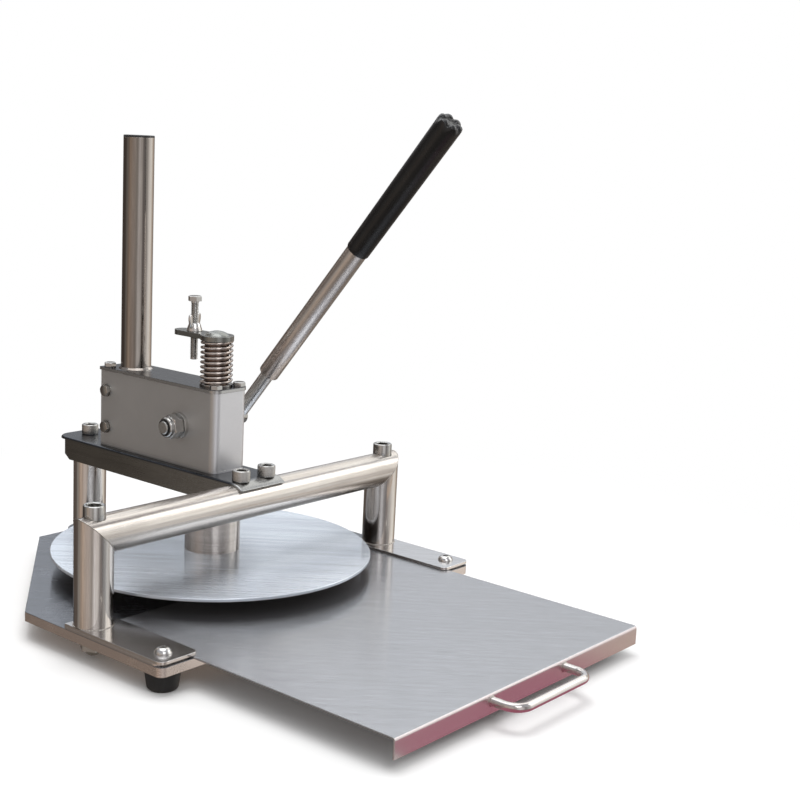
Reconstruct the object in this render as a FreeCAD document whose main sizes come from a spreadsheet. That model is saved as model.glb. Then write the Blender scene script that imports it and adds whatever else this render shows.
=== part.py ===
"""Manual pizza dough press: a lever turns a pinion whose ram drives a round plate onto a sliding tray.

Frame: +Z up, +X to the lever side, the tray slides out towards -Y, z = 0 on the table.
All lengths are millimetres and all angles degrees.
"""
import FreeCAD, Part
import Sketcher
import math
import os

VECTOR = FreeCAD.Vector

SIZES = [
    ("press_axis_y", 90.0, "ram axis from the middle of the footprint"),
    ("hole_gap", 0.2, "radial clearance of a bolt hole"),
    ("running_gap", 0.05, "radial clearance of a running fit"),
    ("base_half_width", 192.0, "half the width of the base plate"),
    ("base_front", 151.0, "front edge of the base from the ram axis"),
    ("base_back", 184.0, "back edge of the base from the ram axis"),
    ("base_chamfer_x", 136.0, "rear corner cut across"),
    ("base_chamfer_y", 166.0, "rear corner cut along"),
    ("base_thickness", 8.0, "base plate"),
    ("base_corner", 6.0, "front corner radius"),
    ("ear_radius", 21.0, "rear ear round the back post"),
    ("foot_height", 16.0, "rubber foot"),
    ("foot_radius_top", 14.5, "foot at the base plate"),
    ("foot_radius_low", 12.3, "foot at the table"),
    ("foot_edge", 1.8, "bevel of the foot's lower edge"),
    ("foot_recess_radius", 8.2, "recess for the foot nut"),
    ("foot_recess", 9.0, "depth of that recess"),
    ("rear_foot_x", 100.0, "rear foot from the middle"),
    ("rear_foot_y", 100.0, "rear foot behind the ram axis"),
    ("foot_screw_radius", 4.0, "M8 foot screw"),
    ("foot_screw_head", 7.0, "radius of its button head"),
    ("foot_screw_rise", 4.4, "height of its button head"),
    ("foot_nut_flats", 13.0, "M8 nut across flats"),
    ("foot_nut_height", 6.5, "M8 nut"),
    ("foot_screw_tip", 1.6, "screw end above the table"),
    ("rear_foot_head", 5.3, "head of the rear foot's bolt"),
    ("rear_foot_tap", 6.0, "depth of its thread in the base plate"),
    ("slot_height", 2.0, "guide slot under the rails"),
    ("rail_thickness", 2.5, "guide rail"),
    ("rail_width", 38.0, "guide rail"),
    ("rail_corner", 5.0, "inner front corner of the rail"),
    ("spacer_setback", 4.0, "spacer behind the rail's front edge"),
    ("rail_screw_inset", 16.0, "front screw from the side edge"),
    ("rail_screw_y", 135.0, "front screw from the ram axis"),
    ("tray_side_gap", 0.5, "tray edge to spacer"),
    ("tray_inset", 32.0, "tray's side edge from the base's side edge"),
    ("tray_sheet", 1.5, "tray sheet thickness"),
    ("tray_length", 300.0, "tray from flange to rear edge"),
    ("tray_flange", 16.0, "front flange height"),
    ("tray_bend", 2.5, "outer bend radius of the flange"),
    ("tray_travel", 197.3, "how far the tray stands out"),
    ("tray_stop_gap", 1.2, "flange to base when pushed in"),
    ("handle_half_width", 48.5, "handle leg from the middle"),
    ("handle_reach", 28.0, "handle depth over all"),
    ("handle_bar_radius", 3.6, "handle bar"),
    ("handle_bend", 13.0, "bend radius of the bar's centre line"),
    ("handle_drop", 6.0, "bar centre under the tray top"),
    ("disc_radius", 145.0, "press plate"),
    ("disc_thickness", 3.0, "press plate"),
    ("disc_edge", 0.5, "edge bevel of the plate"),
    ("press_gap", 17.0, "tray to press plate at rest"),
    ("hub_radius", 25.3, "hub on the press plate"),
    ("hub_height", 32.0, "hub"),
    ("hub_bevel", 1.5, "top bevel of the hub"),
    ("hub_bore_depth", 24.0, "ram seat in the hub"),
    ("hub_screw_height", 20.0, "grub screw above the plate"),
    ("plate_screw_head", 7.9, "countersunk head radius"),
    ("plate_screw_length", 10.5, "countersunk screw over all"),
    ("tube_radius", 16.0, "frame tube"),
    ("tube_wall", 2.0, "frame tube wall"),
    ("tube_plug", 22.0, "solid end of the cross tube past the bolt"),
    ("post_front_y", 51.0, "front posts before the ram axis"),
    ("post_back_y", 178.0, "back post behind the ram axis"),
    ("cross_height", 77.5, "cross tube axis above the base"),
    ("corner_bolt_radius", 6.0, "M12 corner bolt"),
    ("corner_head_radius", 9.0, "its socket head"),
    ("corner_head_height", 12.0, "its socket head"),
    ("corner_head_sink", 2.5, "spot face below the tube crown"),
    ("corner_socket", 10.0, "hexagon socket across flats"),
    ("corner_nut_flats", 19.0, "M12 domed nut across flats"),
    ("corner_nut_height", 8.0, "hexagon of the domed nut"),
    ("corner_nut_dome", 4.5, "dome of the nut"),
    ("corner_bolt_reach", 10.5, "bolt end below the base plate"),
    ("link_bolt_radius", 5.0, "M10 channel bolt"),
    ("link_head_radius", 8.0, "its socket head"),
    ("link_head_height", 10.0, "its socket head"),
    ("link_socket", 8.0, "hexagon socket across flats"),
    ("link_nut_flats", 17.0, "M10 nut across flats"),
    ("link_nut_height", 8.4, "M10 nut"),
    ("saddle_screw_x", 15.5, "saddle screw from the middle"),
    ("saddle_screw_length", 26.0, "saddle screw shank"),
    ("saddle_plug", 28.0, "half the solid middle of the cross tube"),
    ("channel_half_width", 27.5, "top channel"),
    ("channel_sheet", 2.5, "top channel sheet"),
    ("channel_depth", 21.5, "height of the channel over all"),
    ("channel_bend", 2.2, "outer bend radius"),
    ("channel_cope", 0.15, "flange cut clear of the cross tube"),
    ("flange_rear", 182.0, "rear end of the flanges"),
    ("flange_bevel_y", 7.0, "lower rear corner cut along"),
    ("flange_bevel_z", 5.0, "lower rear corner cut up"),
    ("tongue_rear", 197.0, "rear end of the channel's top"),
    ("tongue_corner", 14.0, "corner radius of the tongue"),
    ("saddle_lip", 13.3, "front lip above the cross tube axis"),
    ("box_half_width", 20.0, "gear housing"),
    ("box_front", 20.5, "housing front from the ram axis"),
    ("box_back", 136.5, "housing back from the ram axis"),
    ("box_corner", 7.0, "outer radius of the front bends"),
    ("box_floor", 2.0, "housing floor plate"),
    ("cover_sheet", 2.0, "housing cover sheet"),
    ("cover_height", 70.5, "housing cover"),
    ("lid_thickness", 3.0, "housing lid"),
    ("lid_bolt_x", 14.2, "lid bolts from the middle"),
    ("lid_bolt_front", 15.0, "front lid bolts before the ram axis"),
    ("lid_bolt_back", 130.5, "rear lid bolts behind the ram axis"),
    ("lid_bolt_length", 16.0, "lid bolt shank"),
    ("lid_bolt_radius", 3.0, "M6 lid bolt"),
    ("lid_bolt_flats", 10.0, "M6 hexagon across flats"),
    ("lid_bolt_head", 4.0, "M6 head height"),
    ("lid_overhang", 1.0, "lid beyond the housing's sides"),
    ("side_bolt_y", 127.0, "side bolts behind the ram axis"),
    ("side_bolt_low", 17.0, "lower side bolts above the floor"),
    ("side_bolt_high", 52.0, "upper side bolts above the floor"),
    ("side_bolt_length", 14.0, "side bolt shank"),
    ("rear_screw_low", 30.0, "lower rear screw above the floor"),
    ("rear_screw_high", 62.0, "upper rear screw above the floor"),
    ("rear_screw_radius", 2.5, "M5 rear screw"),
    ("rear_screw_length", 12.0, "rear screw shank"),
    ("small_bolt_radius", 3.0, "M6 bolt"),
    ("small_flats", 10.0, "M6 hexagon across flats"),
    ("small_head", 4.0, "M6 head height"),
    ("small_washer_radius", 6.25, "M6 washer"),
    ("small_washer", 1.2, "M6 washer thickness"),
    ("housing_bolt_x_front", 13.0, "front housing bolts from the middle"),
    ("housing_bolt_y_front", 37.0, "front housing bolts behind the ram axis"),
    ("housing_bolt_x_rear", 12.0, "rear housing bolts from the middle"),
    ("housing_bolt_y_rear", 117.0, "rear housing bolts behind the ram axis"),
    ("housing_bolt_radius", 3.0, "M6 bolt"),
    ("housing_flats", 10.0, "M6 hexagon across flats"),
    ("housing_head", 4.0, "M6 head height"),
    ("housing_bolt_length", 20.5, "M6 shank"),
    ("ram_block_back", 47.0, "rear face of the ram block"),
    ("rear_block_front", 105.0, "front face of the rear block"),
    ("shaft_y", 25.0, "pinion shaft behind the ram axis"),
    ("shaft_height", 35.5, "pinion shaft above the housing floor"),
    ("shaft_radius", 8.0, "pinion shaft"),
    ("journal_radius", 6.0, "threaded left end of the shaft"),
    ("journal_past", 2.4, "left journal beyond the lock nut"),
    ("shaft_right", 59.0, "right end of the shaft"),
    ("pinion_gap", 0.4, "pinion face to the side of its slot"),
    ("cavity_gap", 1.65, "pinion tips to the end of the slot"),
    ("left_bush_radius", 9.0, "left shaft bush"),
    ("right_bush_radius", 11.0, "right shaft bush"),
    ("shaft_washer_radius", 12.0, "left washer"),
    ("shaft_washer", 3.5, "left washer thickness"),
    ("lock_nut_flats", 19.0, "M12 lock nut across flats"),
    ("lock_nut_height", 14.5, "M12 lock nut"),
    ("collar_radius", 12.0, "right collar"),
    ("collar_length", 12.0, "right collar"),
    ("gear_module", 2.0, "rack and pinion module"),
    ("gear_teeth", 16.0, "pinion teeth"),
    ("tooth_thin", 0.16, "taken off each tooth for backlash"),
    ("gear_addendum", 1.85, "tooth height above the pitch line"),
    ("gear_dedendum", 2.5, "tooth depth below the pitch line"),
    ("pinion_width", 16.0, "pinion face"),
    ("key_width", 4.0, "key"),
    ("key_depth", 2.0, "key seat in the shaft"),
    ("key_rise", 1.8, "key above the shaft"),
    ("ram_radius", 11.0, "ram"),
    ("ram_head_radius", 11.5, "ram's end headed over the cap plate"),
    ("ram_head_height", 4.0, "ram's end headed over the cap plate"),
    ("spigot_radius", 6.0, "ram end in the cap plate"),
    ("bush_radius", 13.5, "ram bushes"),
    ("upper_bush_depth", 18.0, "upper bush below the lid's top"),
    ("bush_flange_radius", 14.9, "spring seat"),
    ("bush_flange", 2.0, "spring seat thickness"),
    ("lower_bush_drop", 18.0, "lower bush below the housing floor"),
    ("lower_bush_rise", 15.0, "lower bush above the housing floor"),
    ("collar_ring_radius", 16.0, "stop collar on the ram"),
    ("collar_ring", 6.0, "stop collar thickness"),
    ("spring_length", 39.0, "spring at rest"),
    ("spring_radius", 14.7, "outer radius of the spring"),
    ("spring_wire", 2.2, "spring wire"),
    ("spring_turns", 9.0, "turns, ends included"),
    ("spring_flat", 0.4, "ground off each spring end"),
    ("cap_thickness", 4.5, "cap plate"),
    ("cap_radius", 15.0, "cap plate over the spring"),
    ("cap_arm_width", 18.0, "arm of the cap plate"),
    ("cap_arm_end", 52.0, "rear end of the arm"),
    ("stop_bolt_y", 30.0, "depth stop behind the ram axis"),
    ("stop_bolt_radius", 3.5, "M7 depth stop"),
    ("stop_bolt_flats", 11.0, "its hexagon across flats"),
    ("stop_bolt_head", 4.6, "its head height"),
    ("stop_bolt_rise", 27.2, "head above the cap plate"),
    ("stop_bolt_length", 53.0, "depth stop under its head"),
    ("wing_hub_radius", 7.2, "wing nut"),
    ("wing_hub_height", 8.0, "wing nut"),
    ("wing_span", 12.5, "wing tip from the bolt"),
    ("wing_height", 16.0, "wing tip above the cap plate"),
    ("wing_sheet", 2.2, "wing thickness"),
    ("wing_turn", 21.0, "how the wings stand at rest"),
    ("grip_tube_y", 110.0, "upright tube behind the ram axis"),
    ("grip_tube_radius", 14.2, "upright tube"),
    ("grip_tube_wall", 1.5, "upright tube wall"),
    ("grip_tube_height", 216.5, "upright tube with its cap"),
    ("grip_tube_bead", 2.0, "weld bead at its foot"),
    ("tube_cap", 2.0, "cap thickness"),
    ("tube_cap_plug", 8.0, "plug of the cap"),
    ("lever_x", 53.0, "lever from the middle"),
    ("lever_angle", 50.0, "lever above the table at rest"),
    ("lever_spigot_radius", 5.0, "rod end through the shaft"),
    ("lever_spigot_end", 17.0, "rod end beyond the shaft axis"),
    ("lever_rod_radius", 6.25, "lever rod"),
    ("lever_rod_end", 92.0, "rod end inside the tube"),
    ("lever_nut_flats", 16.0, "nut under the shaft"),
    ("lever_nut_height", 7.0, "nut under the shaft"),
    ("lever_tube_start", 60.0, "lever tube from the shaft"),
    ("lever_tube_radius", 9.5, "lever tube"),
    ("lever_tube_wall", 1.5, "lever tube wall"),
    ("grip_start", 217.0, "rubber grip from the shaft"),
    ("grip_end", 363.0, "end of the grip from the shaft"),
    ("grip_radius_low", 10.7, "grip at its lower end"),
    ("grip_radius_high", 11.7, "grip at its upper end"),
    ("grip_cap", 7.0, "solid rubber over the tube end"),
]

doc = FreeCAD.newDocument("DoughPress")
sheet = doc.addObject("Spreadsheet::Sheet", "Sizes")
for row, (alias, number, note) in enumerate(SIZES, 1):
    sheet.set("A%d" % row, alias)
    sheet.set("B%d" % row, repr(number))
    sheet.set("C%d" % row, note)
    sheet.setAlias("B%d" % row, alias)
doc.recompute()


def size(alias):
    """The value of one cell."""
    return float(getattr(sheet, alias))


def cell(text):
    """Turns bare names of sizes into references to the sheet."""
    out = []
    word = ""
    for letter in text + " ":
        if letter.isalnum() or letter == "_":
            word += letter
            continue
        out.append("Sizes." + word if word in ALIASES else word)
        word = ""
        out.append(letter)
    return "".join(out).strip()


ALIASES = set(alias for alias, number, note in SIZES)


def worth(text):
    """The number that an expression gives."""
    return float(sheet.evalExpression(cell(text)))


def bind(thing, name, text):
    """Binds one property or constraint to an expression of the sheet."""
    thing.setExpression(name, cell(text))


# Levels above the table.
BASE_LOW = "foot_height"
BASE_TOP = "(foot_height + base_thickness)"
RAIL_LOW = "(%s + slot_height)" % BASE_TOP
RAIL_TOP = "(%s + rail_thickness)" % RAIL_LOW
CROSS_Z = "(%s + cross_height)" % BASE_TOP
CHANNEL_LOW = "(%s + tube_radius)" % CROSS_Z
CHANNEL_TOP = "(%s + channel_sheet)" % CHANNEL_LOW
FLOOR_TOP = "(%s + box_floor)" % CHANNEL_TOP
COVER_TOP = "(%s + cover_height)" % FLOOR_TOP
LID_TOP = "(%s + lid_thickness)" % COVER_TOP
SHAFT_Z = "(%s + shaft_height)" % FLOOR_TOP
SEAT_TOP = "(%s + bush_flange)" % LID_TOP
CAP_LOW = "(%s + spring_length)" % SEAT_TOP
CAP_TOP = "(%s + cap_thickness)" % CAP_LOW
DISC_LOW = "(%s + tray_sheet + press_gap)" % BASE_TOP
DISC_TOP = "(%s + disc_thickness)" % DISC_LOW
HUB_TOP = "(%s + hub_height)" % DISC_TOP
POST_X = "(base_half_width - tube_radius)"
TRAY_HALF = "(base_half_width - tray_inset)"
TUBE_BORE = "(tube_radius - tube_wall)"
INNER_WIDTH = "(box_half_width - cover_sheet)"
INNER_FRONT = "(box_front - cover_sheet)"
TRAY_FRONT = "(base_front + tray_stop_gap + tray_sheet + tray_travel)"
PITCH_RADIUS = "(gear_module * gear_teeth / 2)"
SLOT_HALF = "(pinion_width / 2 + pinion_gap)"
SLOT_REACH = "(%s + gear_addendum + cavity_gap)" % PITCH_RADIUS
SHOULDER = "(pinion_width / 2 + pinion_gap / 2)"
SHAFT_LEFT = "(box_half_width + shaft_washer + lock_nut_height + journal_past)"


class Piece:
    """A body whose local origin sits at a bound place, built from sketches with bound corners."""

    def __init__(self, label, x="0", y="0", z="0", turn=None):
        self.body = doc.addObject("PartDesign::Body", label)
        self.body.Label = label
        self.count = 0
        if turn:
            axis, angle = turn
            self.body.Placement = FreeCAD.Placement(VECTOR(0, 0, 0), FreeCAD.Rotation(axis, worth(angle)))
            bind(self.body, "Placement.Rotation.Angle", angle)
        bind(self.body, "Placement.Base.x", x)
        bind(self.body, "Placement.Base.y", "press_axis_y + (%s)" % y)
        bind(self.body, "Placement.Base.z", z)

    def name(self, kind):
        """A fresh name for the next feature."""
        self.count += 1
        return "%s_%s%d" % (self.body.Name, kind, self.count)

    def sketch(self, plane, offset="0"):
        """An empty sketch on one of the body's own origin planes."""
        made = self.body.newObject("Sketcher::SketchObject", self.name("sketch"))
        for feature in self.body.Origin.OriginFeatures:
            if feature.Role == plane + "_Plane":
                made.AttachmentSupport = [(feature, "")]
        made.MapMode = "FlatFace"
        bind(made, "AttachmentOffset.Base.z", offset)
        return made

    @property
    def volume(self):
        """Volume of the body so far."""
        shape = self.body.Shape
        return 0.0 if shape.isNull() else shape.Volume

    def extrude(self, outlines, length, plane="XY", offset="0", cut=False, both=False):
        """Pads or pockets closed outlines along the plane's normal, or both ways from it."""
        before = self.volume
        made = self.sketch(plane, offset)
        for outline in outlines:
            draw(made, outline)
        kind = "PartDesign::Pocket" if cut else "PartDesign::Pad"
        feature = self.body.newObject(kind, self.name("pocket" if cut else "pad"))
        feature.Profile = made
        bind(feature, "Length", length)
        if both:
            feature.SideType = "Symmetric"
        elif cut:
            feature.Reversed = True
        doc.recompute()
        after = feature.Shape.Volume
        if cut and not after < before - 1e-6:
            raise ValueError("%s cuts nothing" % feature.Name)
        if not cut and not after > before + 1e-6:
            raise ValueError("%s adds nothing" % feature.Name)
        return feature

    def pad(self, outlines, length, **more):
        """Adds material."""
        return self.extrude(outlines, length, **more)

    def cut(self, outlines, length, **more):
        """Takes material away."""
        return self.extrude(outlines, length, cut=True, **more)

    def turn(self, outline, axis="V_Axis"):
        """Turns an outline drawn as (radius, height), or as (length, radius) about H_Axis."""
        made = self.sketch("XZ")
        draw(made, outline)
        feature = self.body.newObject("PartDesign::Revolution", self.name("turn"))
        feature.Profile = made
        feature.ReferenceAxis = (made, [axis])
        feature.Angle = 360
        doc.recompute()
        return feature

    def round(self, radius, wanted):
        """Rounds the edges for which wanted(edge) holds."""
        names = []
        for number, edge in enumerate(self.body.Shape.Edges, 1):
            local = edge.transformed(self.body.Placement.inverse().toMatrix())
            if wanted(local):
                names.append("Edge%d" % number)
        feature = self.body.newObject("PartDesign::Fillet", self.name("fillet"))
        feature.Base = (self.body.Tip if self.body.Tip != feature else feature.BaseFeature, names)
        bind(feature, "Radius", radius)
        doc.recompute()
        if not names:
            raise ValueError("%s has no edge to round" % self.body.Label)
        return feature


def draw(sketch, outline):
    """Adds a closed outline: ("circle", x, y, radius) or corners (x, y) or (x, y, radius, side).

    A corner with a radius is reached from the one before by an arc, whose centre lies to the
    left of the way for side 1 and to the right for side -1.
    """
    first = sketch.GeometryCount
    if outline[0] == "circle":
        x, y, radius = outline[1:]
        centre = VECTOR(worth(x), worth(y), 0)
        sketch.addGeometry(Part.Circle(centre, VECTOR(0, 0, 1), worth(radius)))
        hold(sketch, "DistanceX", (-1, 1, first, 3), x)
        hold(sketch, "DistanceY", (-1, 1, first, 3), y)
        hold(sketch, "Radius", (first,), radius)
        return
    spots = [(worth(corner[0]), worth(corner[1])) for corner in outline]
    count = len(outline)
    starts = []
    ends = []
    for number in range(count):
        after = (number + 1) % count
        begin = VECTOR(spots[number][0], spots[number][1], 0)
        end = VECTOR(spots[after][0], spots[after][1], 0)
        if len(outline[after]) == 2:
            sketch.addGeometry(Part.LineSegment(begin, end))
            starts.append(1)
            ends.append(2)
            continue
        radius = worth(outline[after][2])
        side = outline[after][3]
        chord = end - begin
        half = chord.Length / 2
        rise = math.sqrt(max(radius * radius - half * half, 0.0))
        left = VECTOR(-chord.y, chord.x, 0).normalize()
        centre = (begin + end) * 0.5 + left * (rise * side)
        circle = Part.Circle(centre, VECTOR(0, 0, 1), radius)
        from_angle = math.atan2(begin.y - centre.y, begin.x - centre.x)
        to_angle = math.atan2(end.y - centre.y, end.x - centre.x)
        if side > 0:
            sketch.addGeometry(Part.ArcOfCircle(circle, from_angle, to_angle))
            starts.append(1)
            ends.append(2)
        else:
            sketch.addGeometry(Part.ArcOfCircle(circle, to_angle, from_angle))
            starts.append(2)
            ends.append(1)
    for number in range(count):
        after = (number + 1) % count
        join = Sketcher.Constraint("Coincident", first + number, ends[number], first + after, starts[after])
        sketch.addConstraint(join)
    for number in range(count):
        after = (number + 1) % count
        hold(sketch, "DistanceX", (-1, 1, first + number, starts[number]), outline[number][0])
        hold(sketch, "DistanceY", (-1, 1, first + number, starts[number]), outline[number][1])
        if len(outline[after]) == 4:
            hold(sketch, "Radius", (first + number,), outline[after][2])


def hold(sketch, kind, where, text):
    """Adds one constraint bound to an expression."""
    index = sketch.addConstraint(Sketcher.Constraint(kind, *where, worth(text)))
    bind(sketch, "Constraints[%d]" % index, text)


def circle(x, y, radius):
    """Outline of a round hole or disc."""
    return ("circle", x, y, radius)


def rectangle(x0, x1, y0, y1):
    """Outline of a rectangle."""
    return [(x0, y0), (x1, y0), (x1, y1), (x0, y1)]


def hexagon(flats):
    """Outline of a hexagon with two corners on the sketch's first axis."""
    corner = "%s / sqrt(3)" % flats
    half = "%s / 2 / sqrt(3)" % flats
    rise = "%s / 2" % flats
    return [
        (corner, "0"),
        (half, rise),
        ("-%s" % half, rise),
        ("-%s" % corner, "0"),
        ("-%s" % half, "-%s" % rise),
        (half, "-%s" % rise),
    ]


def group(label, pieces):
    """Several separate solids under one name."""
    made = doc.addObject("Part::Compound", label)
    made.Label = label
    made.Links = [piece.body for piece in pieces]
    return made


NODES = []
ABOUT_X = VECTOR(1, 0, 0)
ABOUT_Y = VECTOR(0, 1, 0)


def node(thing):
    """Lists one finished sub-part."""
    NODES.append(thing.body if isinstance(thing, Piece) else thing)
    return thing


def upright(edge, x, y):
    """True for a vertical edge at a place of the body."""
    ends = [vertex.Point for vertex in edge.Vertexes]
    if len(ends) != 2 or abs(ends[0].z - ends[1].z) < 1e-3:
        return False
    return all(abs(end.x - x) < 1e-3 and abs(end.y - y) < 1e-3 for end in ends)


# Base plate with its rear ear and holes.
base = Piece("base_plate", z=BASE_LOW)
base.pad([[
    ("-base_half_width", "-base_front"),
    ("base_half_width", "-base_front"),
    ("base_half_width", "base_back - base_chamfer_y"),
    ("base_half_width - base_chamfer_x", "base_back"),
    ("base_chamfer_x - base_half_width", "base_back"),
    ("-base_half_width", "base_back - base_chamfer_y"),
]], "base_thickness")
for side in (-1, 1):
    base.round("base_corner", lambda edge: upright(edge, side * size("base_half_width"), -size("base_front")))
base.pad([circle("0", "post_back_y", "ear_radius")], "base_thickness")
FOOT_HOLE = "foot_screw_radius + hole_gap"
RAIL_SCREW_X = "(base_half_width - rail_screw_inset)"
base.cut([
    circle("-%s" % RAIL_SCREW_X, "-rail_screw_y", FOOT_HOLE),
    circle(RAIL_SCREW_X, "-rail_screw_y", FOOT_HOLE),
    circle("-%s" % POST_X, "-post_front_y", "corner_bolt_radius + hole_gap"),
    circle(POST_X, "-post_front_y", "corner_bolt_radius + hole_gap"),
    circle("0", "post_back_y", "link_bolt_radius + hole_gap"),
], "base_thickness")
base.cut([
    circle("-rear_foot_x", "rear_foot_y", "foot_screw_radius"),
    circle("rear_foot_x", "rear_foot_y", "foot_screw_radius"),
], "rear_foot_tap + 0.5")
node(base)


def guide(label, side, inner, front, low, thickness):
    """A strip along one side edge of the base, from its front to behind the front post."""
    strip = Piece(label, z=low)
    sign = "-" if side < 0 else ""
    strip.pad([[
        ("%s(%s)" % (sign, inner), front),
        ("%sbase_half_width" % sign, front),
        ("%sbase_half_width" % sign, "tube_radius - post_front_y"),
        ("%s(%s)" % (sign, inner), "tube_radius - post_front_y"),
    ]], thickness)
    strip.round("base_corner", lambda edge: upright(edge, side * size("base_half_width"), worth(front)))
    strip.cut([
        circle("%s%s" % (sign, RAIL_SCREW_X), "-rail_screw_y", FOOT_HOLE),
        circle("%s%s" % (sign, POST_X), "-post_front_y", "corner_bolt_radius + hole_gap"),
    ], thickness)
    return strip


for side, word in ((-1, "left"), (1, "right")):
    node(guide("guide_spacer_" + word, side, "%s + tray_side_gap" % TRAY_HALF, "spacer_setback - base_front", BASE_TOP,
               "slot_height"))
    rail = guide("guide_rail_" + word, side, "base_half_width - rail_width", "-base_front", RAIL_LOW,
                 "rail_thickness")
    rail.round("rail_corner", lambda edge: upright(edge, side * worth("base_half_width - rail_width"),
                                                   -size("base_front")))
    node(rail)


def foot(label, x, y):
    """A rubber foot with a hole for its screw and a recess for the nut or head under it."""
    made = Piece(label, x=x, y=y)
    made.turn([
        ("foot_recess_radius", "0"),
        ("foot_radius_low - foot_edge", "0"),
        ("foot_radius_low", "foot_edge"),
        ("foot_radius_top", "foot_height"),
        (FOOT_HOLE, "foot_height"),
        (FOOT_HOLE, "foot_recess"),
        ("foot_recess_radius", "foot_recess"),
    ])
    return made


def hexagon_bolt(label, x, y, z, shank, flats, height, length, turn=None):
    """A hexagon bolt along local +Z, its head seated at the local origin."""
    made = Piece(label, x=x, y=y, z=z, turn=turn)
    made.turn([
        ("0", "-(%s)" % length),
        ("%s - 0.4" % shank, "-(%s)" % length),
        (shank, "0.4 - (%s)" % length),
        (shank, "%s / 2" % height),
        ("0", "%s / 2" % height),
    ])
    made.pad([hexagon(flats)], height)
    return made


def ring_nut(label, flats, radius, height, x, y, z):
    """A plain hexagon nut whose lower face is at z."""
    made = Piece(label, x=x, y=y, z=z)
    made.pad([hexagon(flats), circle("0", "0", radius)], height)
    return made


def button_screw(label, x, y, z, length):
    """A button-head screw with its head seated at z and a hexagon socket."""
    made = Piece(label, x=x, y=y, z=z)
    made.turn([
        ("0", "-(%s)" % length),
        ("foot_screw_radius - 0.5", "-(%s)" % length),
        ("foot_screw_radius", "0.5 - (%s)" % length),
        ("foot_screw_radius", "0"),
        ("foot_screw_head", "0"),
        ("foot_screw_head", "0.8"),
        ("foot_screw_head * 0.45", "foot_screw_rise", "foot_screw_head * 0.8", 1),
        ("0", "foot_screw_rise"),
    ])
    made.cut([hexagon("(foot_screw_radius * 1.25)")], "foot_screw_rise", offset="foot_screw_rise * 0.35")
    return made


FOOT_PLACES = [
    ("-%s" % RAIL_SCREW_X, "-rail_screw_y"),
    (RAIL_SCREW_X, "-rail_screw_y"),
    ("-rear_foot_x", "rear_foot_y"),
    ("rear_foot_x", "rear_foot_y"),
]
node(group("feet", [foot("foot_%d" % n, x, y) for n, (x, y) in enumerate(FOOT_PLACES, 1)]))
node(group("foot_nuts", [
    ring_nut("foot_nut_%d" % n, "foot_nut_flats", "foot_screw_radius", "foot_nut_height", x, y,
             "foot_recess - foot_nut_height")
    for n, (x, y) in enumerate(FOOT_PLACES[:2], 1)
]))
node(group("rail_screws", [
    button_screw("rail_screw_%d" % n, x, y, RAIL_TOP, "%s - foot_screw_tip" % RAIL_TOP)
    for n, (x, y) in enumerate(FOOT_PLACES[:2], 1)
]))
node(group("rear_foot_screws", [
    hexagon_bolt("rear_foot_screw_%d" % n, x, y, "foot_recess", "foot_screw_radius", "foot_nut_flats",
                 "rear_foot_head", "foot_height - foot_recess + rear_foot_tap", turn=(ABOUT_X, "180"))
    for n, (x, y) in enumerate(FOOT_PLACES[2:], 1)
]))

# Front posts, mitred into the cross tube.
POST_RUN = "(%s - %s)" % (CROSS_Z, RAIL_TOP)
for side, word in ((-1, "left"), (1, "right")):
    sign = "-" if side < 0 else ""
    flip = "" if side < 0 else "-"
    post = Piece("post_" + word, x="%s%s" % (sign, POST_X), y="-post_front_y", z=RAIL_TOP)
    post.pad([circle("0", "0", "tube_radius")], "%s + tube_radius" % POST_RUN)
    post.cut([circle("0", "0", TUBE_BORE)], "%s - tube_radius - 2 * tube_wall" % POST_RUN)
    post.cut([circle("0", "0", "corner_bolt_radius + hole_gap")], "%s + tube_radius" % POST_RUN)
    post.cut([[
        ("%s(-tube_radius - 2)" % flip, "%s + tube_radius + 2" % POST_RUN),
        ("%s(tube_radius + 2)" % flip, "%s - tube_radius - 2" % POST_RUN),
        ("%s(tube_radius + 2)" % flip, "%s + tube_radius + 2" % POST_RUN),
    ]], "4 * tube_radius", plane="XZ", both=True)
    node(post)

cross = Piece("cross_tube", y="-post_front_y", z=CROSS_Z)
cross.pad([circle("0", "0", "tube_radius")], "2 * (%s + tube_radius)" % POST_X, plane="YZ", both=True)
HOLLOW = "(%s - tube_plug - saddle_plug)" % POST_X
cross.cut([circle("0", "0", TUBE_BORE)], HOLLOW, plane="YZ", offset="saddle_plug")
cross.cut([circle("0", "0", TUBE_BORE)], HOLLOW, plane="YZ", offset="tube_plug - %s" % POST_X)
for sign in ("-", ""):
    cross.cut([[
        ("%s(%s + tube_radius + 2)" % (sign, POST_X), "tube_radius + 2"),
        ("%s(%s - tube_radius - 2)" % (sign, POST_X), "-tube_radius - 2"),
        ("%s(%s + tube_radius + 2)" % (sign, POST_X), "-tube_radius - 2"),
    ]], "4 * tube_radius", plane="XZ", both=True)
cross.cut([
    circle("-%s" % POST_X, "0", "corner_bolt_radius + hole_gap"),
    circle(POST_X, "0", "corner_bolt_radius + hole_gap"),
], "4 * tube_radius", both=True)
cross.cut([
    circle("-%s" % POST_X, "0", "corner_head_radius + hole_gap"),
    circle(POST_X, "0", "corner_head_radius + hole_gap"),
], "corner_head_sink + 1", offset="tube_radius - corner_head_sink")
SADDLE_REACH = "(saddle_screw_length - channel_sheet)"
cross.cut([
    circle("-saddle_screw_x", "0", "link_bolt_radius"),
    circle("saddle_screw_x", "0", "link_bolt_radius"),
], "%s + 1" % SADDLE_REACH, offset="tube_radius - %s" % SADDLE_REACH)
node(cross)


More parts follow.
